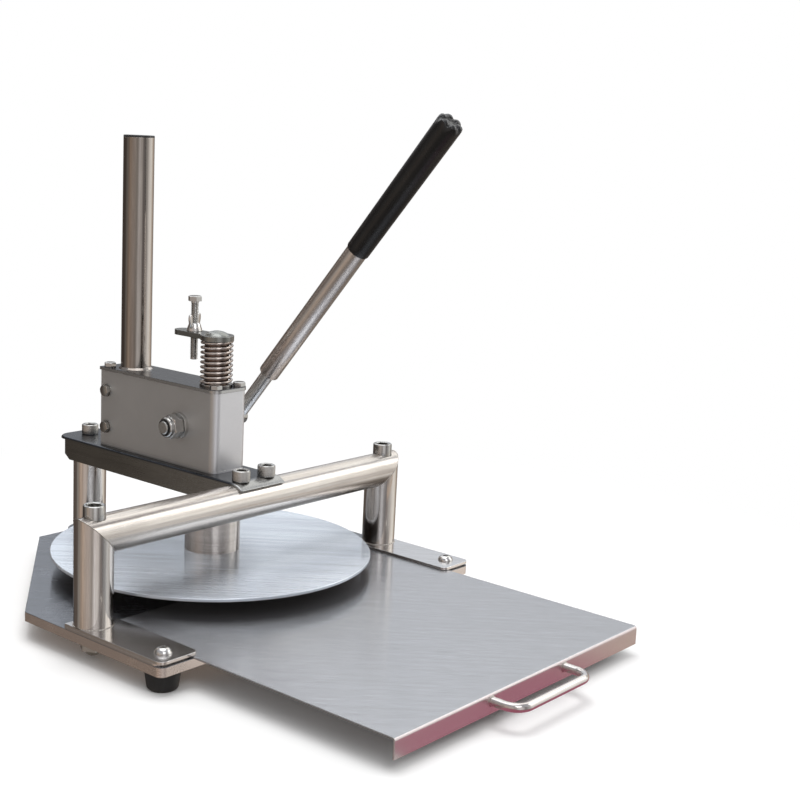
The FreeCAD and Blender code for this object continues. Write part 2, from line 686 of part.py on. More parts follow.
def socket_screw(label, x, y, z, shank, head, height, length, socket):
    """A socket-head screw with its head seated at z."""
    made = Piece(label, x=x, y=y, z=z)
    made.turn([
        ("0", "-(%s)" % length),
        ("%s - 0.6" % shank, "-(%s)" % length),
        (shank, "0.6 - (%s)" % length),
        (shank, "0"),
        (head, "0"),
        (head, "%s - 0.8" % height),
        ("%s - 0.8" % head, height),
        ("0", height),
    ])
    made.cut([hexagon(socket)], "%s * 0.5" % height, offset="%s * 0.5" % height)
    return made


CORNER_SEAT = "(%s - corner_head_sink)" % CHANNEL_LOW
node(group("corner_bolts", [
    socket_screw("corner_bolt_%d" % n, x, "-post_front_y", CORNER_SEAT, "corner_bolt_radius", "corner_head_radius",
                 "corner_head_height", "%s - %s + corner_bolt_reach" % (CORNER_SEAT, BASE_LOW), "corner_socket")
    for n, x in enumerate(("-%s" % POST_X, POST_X), 1)
]))


def domed_nut(label, x, y):
    """A low domed nut under the base plate."""
    made = Piece(label, x=x, y=y, z=BASE_LOW)
    made.pad([hexagon("corner_nut_flats")], "corner_nut_height", offset="-corner_nut_height")
    made.turn([
        ("0", "-corner_nut_height - corner_nut_dome"),
        ("corner_nut_flats * 0.25", "-corner_nut_height - corner_nut_dome"),
        ("corner_nut_flats * 0.45", "-corner_nut_height"),
        ("0", "-corner_nut_height"),
    ])
    made.cut([circle("0", "0", "corner_bolt_radius")], "corner_bolt_reach + 0.5", offset="-corner_bolt_reach - 0.5")
    return made


node(group("corner_nuts", [
    domed_nut("corner_nut_%d" % n, x, "-post_front_y") for n, x in enumerate(("-%s" % POST_X, POST_X), 1)
]))

# Back post under the rear end of the channel.
back_post = Piece("back_post", y="post_back_y", z=BASE_TOP)
back_post.pad([circle("0", "0", "tube_radius")], "%s - %s" % (CHANNEL_LOW, BASE_TOP))
back_post.cut([circle("0", "0", TUBE_BORE)], "%s - %s - 3 * tube_wall" % (CHANNEL_LOW, BASE_TOP))
back_post.cut([circle("0", "0", "link_bolt_radius + hole_gap")], "%s - %s" % (CHANNEL_LOW, BASE_TOP))
node(back_post)
node(socket_screw("back_bolt", "0", "post_back_y", CHANNEL_TOP, "link_bolt_radius", "link_head_radius",
                  "link_head_height", "%s - %s + link_nut_height + 1.5" % (CHANNEL_TOP, BASE_LOW), "link_socket"))
node(ring_nut("back_nut", "link_nut_flats", "link_bolt_radius", "link_nut_height", "0", "post_back_y",
              "%s - link_nut_height" % BASE_LOW))

# Top channel: a sheet that laps over the cross tube, with flanges coped round it.
channel = Piece("top_channel", z=CROSS_Z)
OUTER = "(tube_radius + channel_sheet)"
channel.pad([[
    ("tongue_rear", "tube_radius"),
    ("tongue_rear", OUTER),
    ("-post_front_y", OUTER),
    ("-post_front_y - sqrt(%s ^ 2 - saddle_lip ^ 2)" % OUTER, "saddle_lip", OUTER, 1),
    ("-post_front_y - sqrt(tube_radius ^ 2 - saddle_lip ^ 2)", "saddle_lip"),
    ("-post_front_y", "tube_radius", "tube_radius", -1),
]], "2 * channel_half_width", plane="YZ", both=True)
for side in (-1, 1):
    channel.round("tongue_corner",
                  lambda edge: upright(edge, side * size("channel_half_width"), size("tongue_rear")))
COPE = "(tube_radius + channel_cope)"
FLANGE_LOW = "(%s - channel_depth)" % OUTER
FLANGE = [
    ("-post_front_y", COPE),
    ("-post_front_y + sqrt(%s ^ 2 - %s ^ 2)" % (COPE, FLANGE_LOW), FLANGE_LOW, COPE, -1),
    ("flange_rear - flange_bevel_y", FLANGE_LOW),
    ("flange_rear", "%s + flange_bevel_z" % FLANGE_LOW),
    ("flange_rear", OUTER),
    ("-post_front_y", OUTER),
]
channel.pad([FLANGE], "channel_sheet", plane="YZ", offset="-channel_half_width")
channel.pad([FLANGE], "channel_sheet", plane="YZ", offset="channel_half_width - channel_sheet")
HOUSING_HOLE = "housing_bolt_radius + hole_gap"
HOUSING_PLACES = [
    ("-housing_bolt_x_front", "housing_bolt_y_front"),
    ("housing_bolt_x_front", "housing_bolt_y_front"),
    ("-housing_bolt_x_rear", "housing_bolt_y_rear"),
    ("housing_bolt_x_rear", "housing_bolt_y_rear"),
]
channel.cut([
    circle("-saddle_screw_x", "-post_front_y", "link_bolt_radius + hole_gap"),
    circle("saddle_screw_x", "-post_front_y", "link_bolt_radius + hole_gap"),
    circle("0", "post_back_y", "link_bolt_radius + hole_gap"),
    circle("0", "0", "bush_radius"),
] + [circle(x, y, HOUSING_HOLE) for x, y in HOUSING_PLACES], "3 * channel_sheet", offset="tube_radius - channel_sheet")


def bend_edge(edge):
    """True for the long upper side edges of the channel."""
    ends = [vertex.Point for vertex in edge.Vertexes]
    if len(ends) != 2 or edge.Length < size("channel_half_width"):
        return False
    wide = size("channel_half_width")
    top = size("tube_radius") + size("channel_sheet")
    return all(abs(abs(end.x) - wide) < 1e-3 and abs(end.z - top) < 1e-3 for end in ends)


channel.round("channel_bend", bend_edge)
node(channel)
node(group("saddle_bolts", [
    socket_screw("saddle_bolt_%d" % n, x, "-post_front_y", CHANNEL_TOP, "link_bolt_radius", "link_head_radius",
                 "link_head_height", "saddle_screw_length", "link_socket")
    for n, x in enumerate(("-saddle_screw_x", "saddle_screw_x"), 1)
]))


def housing_outline(wide, front, back, corner):
    """Plan of the housing: square at the back, bent round at the front corners."""
    return [
        ("-%s" % wide, back),
        ("-%s" % wide, "%s - %s" % (corner, front)),
        ("%s - %s" % (corner, wide), "-%s" % front, corner, 1),
        ("%s - %s" % (wide, corner), "-%s" % front),
        (wide, "%s - %s" % (corner, front), corner, 1),
        (wide, back),
    ]


# Gear housing: floor, bent cover, rear plate and lid.
OUTSIDE = housing_outline("box_half_width", "box_front", "box_back", "box_corner")
floor_plate = Piece("housing_floor", z=CHANNEL_TOP)
floor_plate.pad([OUTSIDE], "box_floor")
floor_plate.cut([circle("0", "0", "bush_radius")] + [circle(x, y, HOUSING_HOLE) for x, y in HOUSING_PLACES],
                "box_floor")
node(floor_plate)

INNER_CORNER = "(box_corner - cover_sheet)"
cover = Piece("housing_cover", z=FLOOR_TOP)
cover.pad([OUTSIDE + [
    (INNER_WIDTH, "box_back"),
    (INNER_WIDTH, "%s - %s" % (INNER_CORNER, INNER_FRONT)),
    ("%s - %s" % (INNER_WIDTH, INNER_CORNER), "-%s" % INNER_FRONT, INNER_CORNER, -1),
    ("%s - %s" % (INNER_CORNER, INNER_WIDTH), "-%s" % INNER_FRONT),
    ("-%s" % INNER_WIDTH, "%s - %s" % (INNER_CORNER, INNER_FRONT), INNER_CORNER, -1),
    ("-%s" % INNER_WIDTH, "box_back"),
]], "cover_height")
SMALL_HOLE = "small_bolt_radius + hole_gap"
SIDE_HOLES = [circle("side_bolt_y", "side_bolt_low", SMALL_HOLE), circle("side_bolt_y", "side_bolt_high", SMALL_HOLE)]
WALL_CUT = "cover_sheet + 2"
cover.cut(SIDE_HOLES + [circle("shaft_y", "shaft_height", "journal_radius + 2 * hole_gap")],
          WALL_CUT, plane="YZ", offset="-box_half_width - 1")
cover.cut(SIDE_HOLES + [circle("shaft_y", "shaft_height", "shaft_radius + 2 * hole_gap")],
          WALL_CUT, plane="YZ", offset="box_half_width - cover_sheet - 1")
node(cover)

rear_plate = Piece("housing_rear_plate", z=FLOOR_TOP)
rear_plate.pad([rectangle("-%s" % INNER_WIDTH, INNER_WIDTH, "box_back - cover_sheet", "box_back")], "cover_height")
REAR_HEIGHTS = ("rear_screw_low", "rear_screw_high")
rear_plate.cut([circle("0", height, "rear_screw_radius + hole_gap") for height in REAR_HEIGHTS],
               "cover_sheet + 2", plane="XZ", offset="-box_back - 1")
node(rear_plate)

lid = Piece("housing_lid", z=COVER_TOP)
lid.pad([housing_outline("(box_half_width + lid_overhang)", "(box_front + lid_overhang)",
                         "(box_back + lid_overhang)", "(box_corner + lid_overhang)")], "lid_thickness")
LID_HOLE = "lid_bolt_radius + hole_gap"
LID_PLACES = [
    ("-lid_bolt_x", "-lid_bolt_front"),
    ("lid_bolt_x", "-lid_bolt_front"),
    ("-lid_bolt_x", "lid_bolt_back"),
    ("lid_bolt_x", "lid_bolt_back"),
]
lid.cut([circle("0", "0", "bush_radius")] + [circle(x, y, LID_HOLE) for x, y in LID_PLACES], "lid_thickness")
node(lid)

# Ram block: carries the ram bushes, the shaft bushes and the pinion slot.
ram_block = Piece("ram_block", z=FLOOR_TOP)
ram_block.pad([housing_outline(INNER_WIDTH, INNER_FRONT, "ram_block_back", INNER_CORNER)], "cover_height")
UPPER_POCKET = "(upper_bush_depth - lid_thickness)"
ram_block.cut([circle("0", "0", "ram_radius + 0.6")], "cover_height")
ram_block.cut([circle("0", "0", "bush_radius")], "lower_bush_rise")
ram_block.cut([circle("0", "0", "bush_radius")], UPPER_POCKET, offset="cover_height - %s" % UPPER_POCKET)
ram_block.cut([rectangle("0", "ram_block_back + 1", "shaft_height - %s" % SLOT_REACH,
                         "shaft_height + %s" % SLOT_REACH)],
              "2 * %s" % SLOT_HALF, plane="YZ", both=True)
SIDE_WALL = "(%s - %s)" % (INNER_WIDTH, SLOT_HALF)
ram_block.cut([circle("shaft_y", "shaft_height", "left_bush_radius")], "%s + 2" % SIDE_WALL, plane="YZ",
              offset="-%s - 1" % INNER_WIDTH)
ram_block.cut([circle("shaft_y", "shaft_height", "right_bush_radius")], "%s + 2" % SIDE_WALL, plane="YZ",
              offset="%s - 1" % SLOT_HALF)
LID_TAP = "(lid_bolt_length - lid_thickness + 1)"
HOUSING_TAP = "(housing_bolt_length - channel_sheet - box_floor + 1)"
ram_block.cut([circle(x, y, "lid_bolt_radius") for x, y in LID_PLACES[:2]], LID_TAP,
              offset="cover_height - %s" % LID_TAP)
ram_block.cut([circle(x, y, "housing_bolt_radius") for x, y in HOUSING_PLACES[:2]], HOUSING_TAP)
node(ram_block)

rear_block = Piece("rear_block", z=FLOOR_TOP)
rear_block.pad([rectangle("-%s" % INNER_WIDTH, INNER_WIDTH, "rear_block_front", "box_back - cover_sheet")],
               "cover_height")
rear_block.cut([circle(x, y, "lid_bolt_radius") for x, y in LID_PLACES[2:]], LID_TAP,
               offset="cover_height - %s" % LID_TAP)
rear_block.cut([circle(x, y, "housing_bolt_radius") for x, y in HOUSING_PLACES[2:]], HOUSING_TAP)
SIDE_TAP = "(side_bolt_length - small_washer - cover_sheet + 1)"
for start in ("-%s" % INNER_WIDTH, "%s - %s" % (INNER_WIDTH, SIDE_TAP)):
    rear_block.cut([
        circle("side_bolt_y", "side_bolt_low", "small_bolt_radius"),
        circle("side_bolt_y", "side_bolt_high", "small_bolt_radius"),
    ], SIDE_TAP, plane="YZ", offset=start)
rear_block.cut([circle("0", height, "rear_screw_radius") for height in REAR_HEIGHTS],
               "rear_screw_length - cover_sheet + 1", plane="XZ", offset="cover_sheet - box_back")
node(rear_block)


def ring(label, inner, outer, thickness, x="0", y="0", z="0", turn=None):
    """A flat ring along local +Z."""
    made = Piece(label, x=x, y=y, z=z, turn=turn)
    made.pad([circle("0", "0", outer), circle("0", "0", inner)], thickness)
    return made


node(group("lid_bolts", [
    hexagon_bolt("lid_bolt_%d" % n, x, y, LID_TOP, "lid_bolt_radius", "lid_bolt_flats", "lid_bolt_head",
                 "lid_bolt_length")
    for n, (x, y) in enumerate(LID_PLACES, 1)
]))
SIDE_PLACES = [(sign, height) for sign in ("-", "") for height in ("side_bolt_low", "side_bolt_high")]
node(group("side_bolts", [
    hexagon_bolt("side_bolt_%d" % n, "%s(box_half_width + small_washer)" % sign, "side_bolt_y",
                 "%s + %s" % (FLOOR_TOP, height), "small_bolt_radius", "small_flats", "small_head",
                 "side_bolt_length", turn=(ABOUT_Y, "%s90" % sign))
    for n, (sign, height) in enumerate(SIDE_PLACES, 1)
]))
node(group("side_washers", [
    ring("side_washer_%d" % n, SMALL_HOLE, "small_washer_radius", "small_washer", "%sbox_half_width" % sign,
         "side_bolt_y", "%s + %s" % (FLOOR_TOP, height), turn=(ABOUT_Y, "%s90" % sign))
    for n, (sign, height) in enumerate(SIDE_PLACES, 1)
]))
node(group("housing_bolts", [
    hexagon_bolt("housing_bolt_%d" % n, x, y, CHANNEL_LOW, "housing_bolt_radius", "housing_flats", "housing_head",
                 "housing_bolt_length", turn=(ABOUT_X, "180"))
    for n, (x, y) in enumerate(HOUSING_PLACES, 1)
]))


def pan_screw(label, height):
    """A small pan-head screw through the rear plate, its head towards +Y."""
    made = Piece(label, y="box_back", z="%s + %s" % (FLOOR_TOP, height), turn=(ABOUT_X, "-90"))
    made.turn([
        ("0", "-rear_screw_length"),
        ("rear_screw_radius", "-rear_screw_length"),
        ("rear_screw_radius", "0"),
        ("rear_screw_radius * 1.9", "0"),
        ("rear_screw_radius * 1.9", "rear_screw_radius * 0.4"),
        ("rear_screw_radius * 1.2", "rear_screw_radius * 1.1"),
        ("0", "rear_screw_radius * 1.1"),
    ])
    made.cut([hexagon("(rear_screw_radius * 1.2)")], "rear_screw_radius", offset="rear_screw_radius * 0.4")
    return made


node(group("rear_plate_screws", [pan_screw("rear_plate_screw_%d" % n, h) for n, h in enumerate(REAR_HEIGHTS, 1)]))

# Ram bushes; the upper one's flange is the spring seat.
RAM_BORE = "(ram_radius + running_gap)"
upper_bush = Piece("upper_bush", z=LID_TOP)
upper_bush.turn([
    (RAM_BORE, "-upper_bush_depth"),
    ("bush_radius", "-upper_bush_depth"),
    ("bush_radius", "0"),
    ("bush_flange_radius", "0"),
    ("bush_flange_radius", "bush_flange"),
    (RAM_BORE, "bush_flange"),
])
node(upper_bush)
lower_bush = Piece("lower_bush", z=FLOOR_TOP)
lower_bush.turn([
    (RAM_BORE, "-lower_bush_drop"),
    ("bush_radius - 1", "-lower_bush_drop"),
    ("bush_radius", "1 - lower_bush_drop"),
    ("bush_radius", "lower_bush_rise"),
    (RAM_BORE, "lower_bush_rise"),
])
node(lower_bush)

# Shaft bushes, lying along X.
for word, sign, bore, outer in (
        ("left", "-", "journal_radius + running_gap", "left_bush_radius"),
        ("right", "", "shaft_radius + running_gap", "right_bush_radius")):
    bush = Piece("shaft_bush_" + word, y="shaft_y", z=SHAFT_Z)
    bush.turn([
        (sign + SLOT_HALF, bore),
        ("%s%s" % (sign, INNER_WIDTH), bore),
        ("%s%s" % (sign, INNER_WIDTH), outer),
        (sign + SLOT_HALF, outer),
    ], axis="H_Axis")
    node(bush)

# Upright tube welded on the lid, closed by a cap.
GRIP_RUN = "(grip_tube_height - tube_cap)"
GRIP_BORE = "(grip_tube_radius - grip_tube_wall)"
grip_tube = Piece("grip_tube", y="grip_tube_y", z=LID_TOP)
grip_tube.turn([
    (GRIP_BORE, "0"),
    ("grip_tube_radius + grip_tube_bead", "0"),
    ("grip_tube_radius", "grip_tube_bead"),
    ("grip_tube_radius", GRIP_RUN),
    (GRIP_BORE, GRIP_RUN),
])
node(grip_tube)
grip_cap = Piece("grip_tube_cap", y="grip_tube_y", z="%s + %s" % (LID_TOP, GRIP_RUN))
grip_cap.turn([
    ("0", "-tube_cap_plug"),
    ("%s - 0.1" % GRIP_BORE, "-tube_cap_plug"),
    ("%s - 0.1" % GRIP_BORE, "0"),
    ("grip_tube_radius", "0"),
    ("grip_tube_radius", "tube_cap - 0.6"),
    ("grip_tube_radius - 0.6", "tube_cap"),
    ("0", "tube_cap"),
])
node(grip_cap)

# Ram with rack teeth milled on its rear side; local z = 0 at the pinion shaft.
PITCH = "(gear_module * pi)"
RACK_LINE = "(shaft_y - %s)" % PITCH_RADIUS
RACK_TIP = "(%s + gear_addendum)" % RACK_LINE
RACK_ROOT = "(%s - gear_dedendum)" % RACK_LINE
TIP_HALF = "(gear_module * pi / 4 - tooth_thin / 2 - gear_addendum * tan(20))"
ROOT_HALF = "(gear_module * pi / 4 - tooth_thin / 2 + gear_dedendum * tan(20))"
SPACES_BELOW = 2
SPACES_ABOVE = 5
ram = Piece("ram", z=SHAFT_Z)
RAM_LOW = "(%s - hub_bore_depth - %s)" % (HUB_TOP, SHAFT_Z)
RAM_HIGH = "(%s - %s)" % (CAP_LOW, SHAFT_Z)
ram.turn([
    ("0", RAM_LOW),
    ("ram_radius - 0.8", RAM_LOW),
    ("ram_radius", "%s + 0.8" % RAM_LOW),
    ("ram_radius", RAM_HIGH),
    ("spigot_radius", RAM_HIGH),
    ("spigot_radius", "%s + cap_thickness" % RAM_HIGH),
    ("ram_head_radius", "%s + cap_thickness" % RAM_HIGH),
    ("0", "%s + cap_thickness + ram_head_height" % RAM_HIGH,
     "((ram_head_radius ^ 2 + ram_head_height ^ 2) / (2 * ram_head_height))", 1),
])
teeth = [("ram_radius + 1", "-%s * %.1f" % (PITCH, SPACES_BELOW + 0.5))]
teeth.append((RACK_TIP, "-%s * %.1f" % (PITCH, SPACES_BELOW + 0.5)))
for step in range(-SPACES_BELOW, SPACES_ABOVE + 1):
    middle = "%s * %d" % (PITCH, step)
    teeth.append((RACK_TIP, "%s - %s / 2 + %s" % (middle, PITCH, TIP_HALF)))
    teeth.append((RACK_ROOT, "%s - %s / 2 + %s" % (middle, PITCH, ROOT_HALF)))
    teeth.append((RACK_ROOT, "%s + %s / 2 - %s" % (middle, PITCH, ROOT_HALF)))
    teeth.append((RACK_TIP, "%s + %s / 2 - %s" % (middle, PITCH, TIP_HALF)))
teeth.append((RACK_TIP, "%s * %.1f" % (PITCH, SPACES_ABOVE + 0.5)))
teeth.append(("ram_radius + 1", "%s * %.1f" % (PITCH, SPACES_ABOVE + 0.5)))
ram.cut([teeth], "2 * ram_radius + 2", plane="YZ", both=True)
node(ram)
node(ring("ram_collar", "ram_radius", "collar_ring_radius", "collar_ring",
          z="%s - lower_bush_drop - collar_ring" % FLOOR_TOP))

# Press plate, hub and the screws that hold them to the ram.
disc = Piece("press_plate", z=DISC_LOW)
disc.turn([
    ("plate_screw_head + hole_gap / 2", "0"),
    ("disc_radius - disc_edge", "0"),
    ("disc_radius", "disc_edge"),
    ("disc_radius", "disc_thickness - disc_edge"),
    ("disc_radius - disc_edge", "disc_thickness"),
    ("plate_screw_head + hole_gap / 2 - disc_thickness", "disc_thickness"),
])
node(disc)
hub = Piece("hub", z=DISC_TOP)
SCREW_NECK = "(plate_screw_head - foot_screw_radius - disc_thickness)"
hub.turn([
    ("foot_screw_radius + %s" % SCREW_NECK, "0"),
    ("hub_radius", "0"),
    ("hub_radius", "hub_height - hub_bevel"),
    ("hub_radius - hub_bevel", "hub_height"),
    ("ram_radius", "hub_height"),
    ("ram_radius", "hub_height - hub_bore_depth"),
    ("foot_screw_radius", "hub_height - hub_bore_depth"),
    ("foot_screw_radius", SCREW_NECK),
])
hub.cut([circle("0", "hub_screw_height", "foot_screw_radius")], "hub_radius + 1 - ram_radius / 2", plane="XZ",
        offset="-hub_radius - 1")
node(hub)
plate_screw = Piece("plate_screw", z=DISC_LOW)
plate_screw.turn([
    ("0", "0.2"),
    ("plate_screw_head - 0.2", "0.2"),
    ("foot_screw_radius", "plate_screw_head - foot_screw_radius"),
    ("foot_screw_radius", "plate_screw_length"),
    ("0", "plate_screw_length"),
])
plate_screw.cut([hexagon("(foot_screw_radius * 1.25)")], "2.5")
node(plate_screw)
grub = Piece("hub_grub_screw", y="ram_radius", z="%s + hub_screw_height" % DISC_TOP, turn=(ABOUT_X, "-90"))
grub.turn([
    ("0", "0"),
    ("foot_screw_radius - 1", "0"),
    ("foot_screw_radius", "1"),
    ("foot_screw_radius", "hub_radius - ram_radius - 1"),
    ("0", "hub_radius - ram_radius - 1"),
])
grub.cut([hexagon("foot_screw_radius")], "5", offset="hub_radius - ram_radius - 5")
node(grub)

# Cap plate: round over the spring, with an arm for the depth stop.
cap = Piece("cap_plate", z=CAP_LOW)
ARM_HALF = "(cap_arm_width / 2)"
cap.pad([circle("0", "0", "cap_radius")], "cap_thickness")
cap.pad([rectangle("-%s" % ARM_HALF, ARM_HALF, "0", "cap_arm_end - %s" % ARM_HALF)], "cap_thickness")
cap.pad([circle("0", "cap_arm_end - %s" % ARM_HALF, ARM_HALF)], "cap_thickness")
cap.cut([
    circle("0", "0", "spigot_radius"),
    circle("0", "stop_bolt_y", "stop_bolt_radius + running_gap"),
], "cap_thickness")
node(cap)

# Depth stop and its wing nut.
STOP_SEAT = "(%s + stop_bolt_rise)" % CAP_TOP
stop_bolt = hexagon_bolt("stop_bolt", "0", "stop_bolt_y", STOP_SEAT, "stop_bolt_radius", "stop_bolt_flats",
                         "stop_bolt_head", "stop_bolt_length")
node(stop_bolt)
wing_nut = Piece("wing_nut", y="stop_bolt_y", z=CAP_TOP, turn=(VECTOR(0, 0, 1), "wing_turn"))
WING_BORE = "(stop_bolt_radius + running_gap)"
wing_nut.turn([
    (WING_BORE, "0"),
    ("wing_hub_radius", "0"),
    ("wing_hub_radius", "wing_hub_height * 0.35"),
    ("wing_hub_radius * 0.8", "wing_hub_height"),
    (WING_BORE, "wing_hub_height"),
])
for sign in ("-", ""):
    wing_nut.pad([[
        ("%swing_hub_radius * 0.72" % sign, "wing_height * 0.08"),
        ("%swing_hub_radius * 0.98" % sign, "wing_height * 0.08"),
        ("%swing_span * 0.86" % sign, "wing_height * 0.42"),
        ("%swing_span" % sign, "wing_height * 0.72"),
        ("%swing_span * 0.94" % sign, "wing_height * 0.95"),
        ("%swing_span * 0.76" % sign, "wing_height"),
        ("%swing_span * 0.58" % sign, "wing_height * 0.86"),
        ("%swing_hub_radius * 0.72" % sign, "wing_height * 0.5"),
    ]], "wing_sheet", plane="XZ", both=True)
node(wing_nut)

# Pinion shaft along X, with a cross hole for the lever and a key seat.
shaft = Piece("pinion_shaft", y="shaft_y", z=SHAFT_Z)
shaft.turn([
    ("-%s" % SHAFT_LEFT, "0"),
    ("-%s" % SHAFT_LEFT, "journal_radius - 0.8"),
    ("0.8 - %s" % SHAFT_LEFT, "journal_radius"),
    ("-%s" % SHOULDER, "journal_radius"),
    ("-%s" % SHOULDER, "shaft_radius"),
    ("shaft_right - 1", "shaft_radius"),
    ("shaft_right", "shaft_radius - 1"),
    ("shaft_right", "0"),
], axis="H_Axis")
KEY_LOW = "(shaft_radius - key_depth)"
shaft.cut([rectangle("-key_width / 2", "key_width / 2", KEY_LOW, "shaft_radius + 1")], "pinion_width", plane="YZ",
          both=True)
bored = Piece("lever_hole", x="lever_x", y="shaft_y", z=SHAFT_Z, turn=(ABOUT_X, "90 - lever_angle"))
bored.pad([circle("0", "0", "lever_spigot_radius")], "4 * shaft_radius", both=True)
shaft.body.Label = "shaft_turned"
shaft_bored = doc.addObject("Part::Cut", "pinion_shaft_bored")
shaft_bored.Base = shaft.body
shaft_bored.Tool = bored.body
shaft_bored.Label = "pinion_shaft"
doc.recompute()
node(shaft_bored)

key = Piece("pinion_key", y="shaft_y", z=SHAFT_Z)
key.pad([rectangle("-key_width / 2", "key_width / 2", KEY_LOW, "shaft_radius + key_rise")], "pinion_width",
        plane="YZ", both=True)
node(key)


def pinion_shape():
    """Spur pinion about X: involute flanks, bored and slotted for its key."""
    module = size("gear_module")
    teeth_count = int(round(size("gear_teeth")))
    pitch_radius = module * teeth_count / 2
    base_radius = pitch_radius * math.cos(math.radians(20))
    tip_radius = pitch_radius + size("gear_addendum")
    root_radius = pitch_radius - size("gear_dedendum")
    half_tooth = (module * math.pi / 4 - size("tooth_thin") / 2) / pitch_radius
    roll_pitch = math.tan(math.radians(20)) - math.radians(20)
    corners = []
    for tooth in range(teeth_count):
        middle = 2 * math.pi * tooth / teeth_count
        flank = []
        for step in range(9):
            radius = base_radius + (tip_radius - base_radius) * step / 8
            press = math.acos(min(1.0, base_radius / radius))
            half = half_tooth + roll_pitch - (math.tan(press) - press)
            flank.append((radius, half))
        foot_half = flank[0][1] * 0.93
        flank.insert(0, (root_radius, foot_half))
        for radius, half in flank:
            corners.append((radius, middle - half))
        for radius, half in reversed(flank):
            corners.append((radius, middle + half))
    half_width = size("pinion_width") / 2
    points = []
    for radius, angle in corners:
        points.append(VECTOR(-half_width, -radius * math.cos(angle), radius * math.sin(angle)))
    points.append(points[0])
    blank = Part.Face(Part.makePolygon(points)).extrude(VECTOR(2 * half_width, 0, 0))
    bore = Part.makeCylinder(size("shaft_radius"), 2 * half_width, VECTOR(-half_width, 0, 0), VECTOR(1, 0, 0))
    wide = size("key_width")
    slot_top = size("shaft_radius") + size("key_rise")
    slot = Part.makeBox(2 * half_width, wide, slot_top, VECTOR(-half_width, -wide / 2, 0))
    return blank.cut(bore).cut(slot)


pinion = doc.addObject("Part::Feature", "pinion")
pinion.Label = "pinion"
pinion.Shape = pinion_shape()
bind(pinion, "Placement.Base.y", "press_axis_y + shaft_y")
bind(pinion, "Placement.Base.z", SHAFT_Z)
node(pinion)

washer = Piece("shaft_washer", y="shaft_y", z=SHAFT_Z)
washer.turn([
    ("-box_half_width - shaft_washer", "journal_radius"),
    ("-box_half_width", "journal_radius"),
    ("-box_half_width", "shaft_washer_radius"),
    ("-box_half_width - shaft_washer", "shaft_washer_radius"),
], axis="H_Axis")
node(washer)
lock_nut = Piece("lock_nut", y="shaft_y", z=SHAFT_Z)
lock_nut.pad([hexagon("lock_nut_flats"), circle("0", "0", "journal_radius")], "lock_nut_height", plane="YZ",
             offset="-box_half_width - shaft_washer - lock_nut_height")
node(lock_nut)
collar = Piece("shaft_collar", y="shaft_y", z=SHAFT_Z)
collar.turn([
    ("box_half_width", "shaft_radius"),
    ("box_half_width + collar_length", "shaft_radius"),
    ("box_half_width + collar_length", "collar_radius - 0.6"),
    ("box_half_width + collar_length - 0.6", "collar_radius"),
    ("box_half_width", "collar_radius"),
], axis="H_Axis")
node(collar)

# Lever, drawn along local +Z from the shaft's axis.
LEVER_TURN = (ABOUT_X, "90 - lever_angle")
rod = Piece("lever_rod", x="lever_x", y="shaft_y", z=SHAFT_Z, turn=LEVER_TURN)
rod.turn([
    ("0", "-lever_spigot_end"),
    ("lever_spigot_radius", "-lever_spigot_end"),
    ("lever_spigot_radius", "shaft_radius"),
    ("lever_rod_radius", "shaft_radius"),
    ("lever_rod_radius", "lever_rod_end"),
    ("0", "lever_rod_end"),
])
node(rod)
lever_nut = Piece("lever_nut", x="lever_x", y="shaft_y", z=SHAFT_Z, turn=LEVER_TURN)
lever_nut.pad([hexagon("lever_nut_flats"), circle("0", "0", "lever_spigot_radius")], "lever_nut_height",
              offset="-shaft_radius - lever_nut_height")
node(lever_nut)
LEVER_BORE = "(lever_tube_radius - lever_tube_wall)"
tube = Piece("lever_tube", x="lever_x", y="shaft_y", z=SHAFT_Z, turn=LEVER_TURN)
tube.turn([
    ("lever_rod_radius", "lever_tube_start"),
    ("lever_tube_radius - 0.6", "lever_tube_start"),
    ("lever_tube_radius", "lever_tube_start + 0.6"),
    ("lever_tube_radius", "grip_end - grip_cap"),
    (LEVER_BORE, "grip_end - grip_cap"),
    (LEVER_BORE, "lever_rod_end"),
    ("lever_rod_radius", "lever_rod_end"),
])
node(tube)
grip = Piece("lever_grip", x="lever_x", y="shaft_y", z=SHAFT_Z, turn=LEVER_TURN)
grip.turn([
    ("lever_tube_radius", "grip_start"),
    ("grip_radius_low - 0.8", "grip_start"),
    ("grip_radius_low", "grip_start + 1.5"),
    ("grip_radius_high", "grip_end - 5"),
    ("grip_radius_high - 3.5", "grip_end", "4.5", 1),
    ("0", "grip_end"),
    ("0", "grip_end - grip_cap"),
    ("lever_tube_radius", "grip_end - grip_cap"),
])
node(grip)

# Sliding tray with its bent front flange, and the handle on it.
tray = Piece("tray", z=BASE_TOP)
TRAY_BACK = "(tray_length - %s)" % TRAY_FRONT
tray.pad([[
    (TRAY_BACK, "0"),
    (TRAY_BACK, "tray_sheet"),
    ("tray_bend - %s" % TRAY_FRONT, "tray_sheet"),
    ("-%s" % TRAY_FRONT, "tray_sheet - tray_bend", "tray_bend", 1),
    ("-%s" % TRAY_FRONT, "tray_sheet - tray_flange"),
    ("tray_sheet - %s" % TRAY_FRONT, "tray_sheet - tray_flange"),
    ("tray_sheet - %s" % TRAY_FRONT, "tray_sheet - tray_bend"),
    ("tray_bend - %s" % TRAY_FRONT, "0", "tray_bend - tray_sheet", -1),
]], "2 * %s" % TRAY_HALF, plane="YZ", both=True)
node(tray)


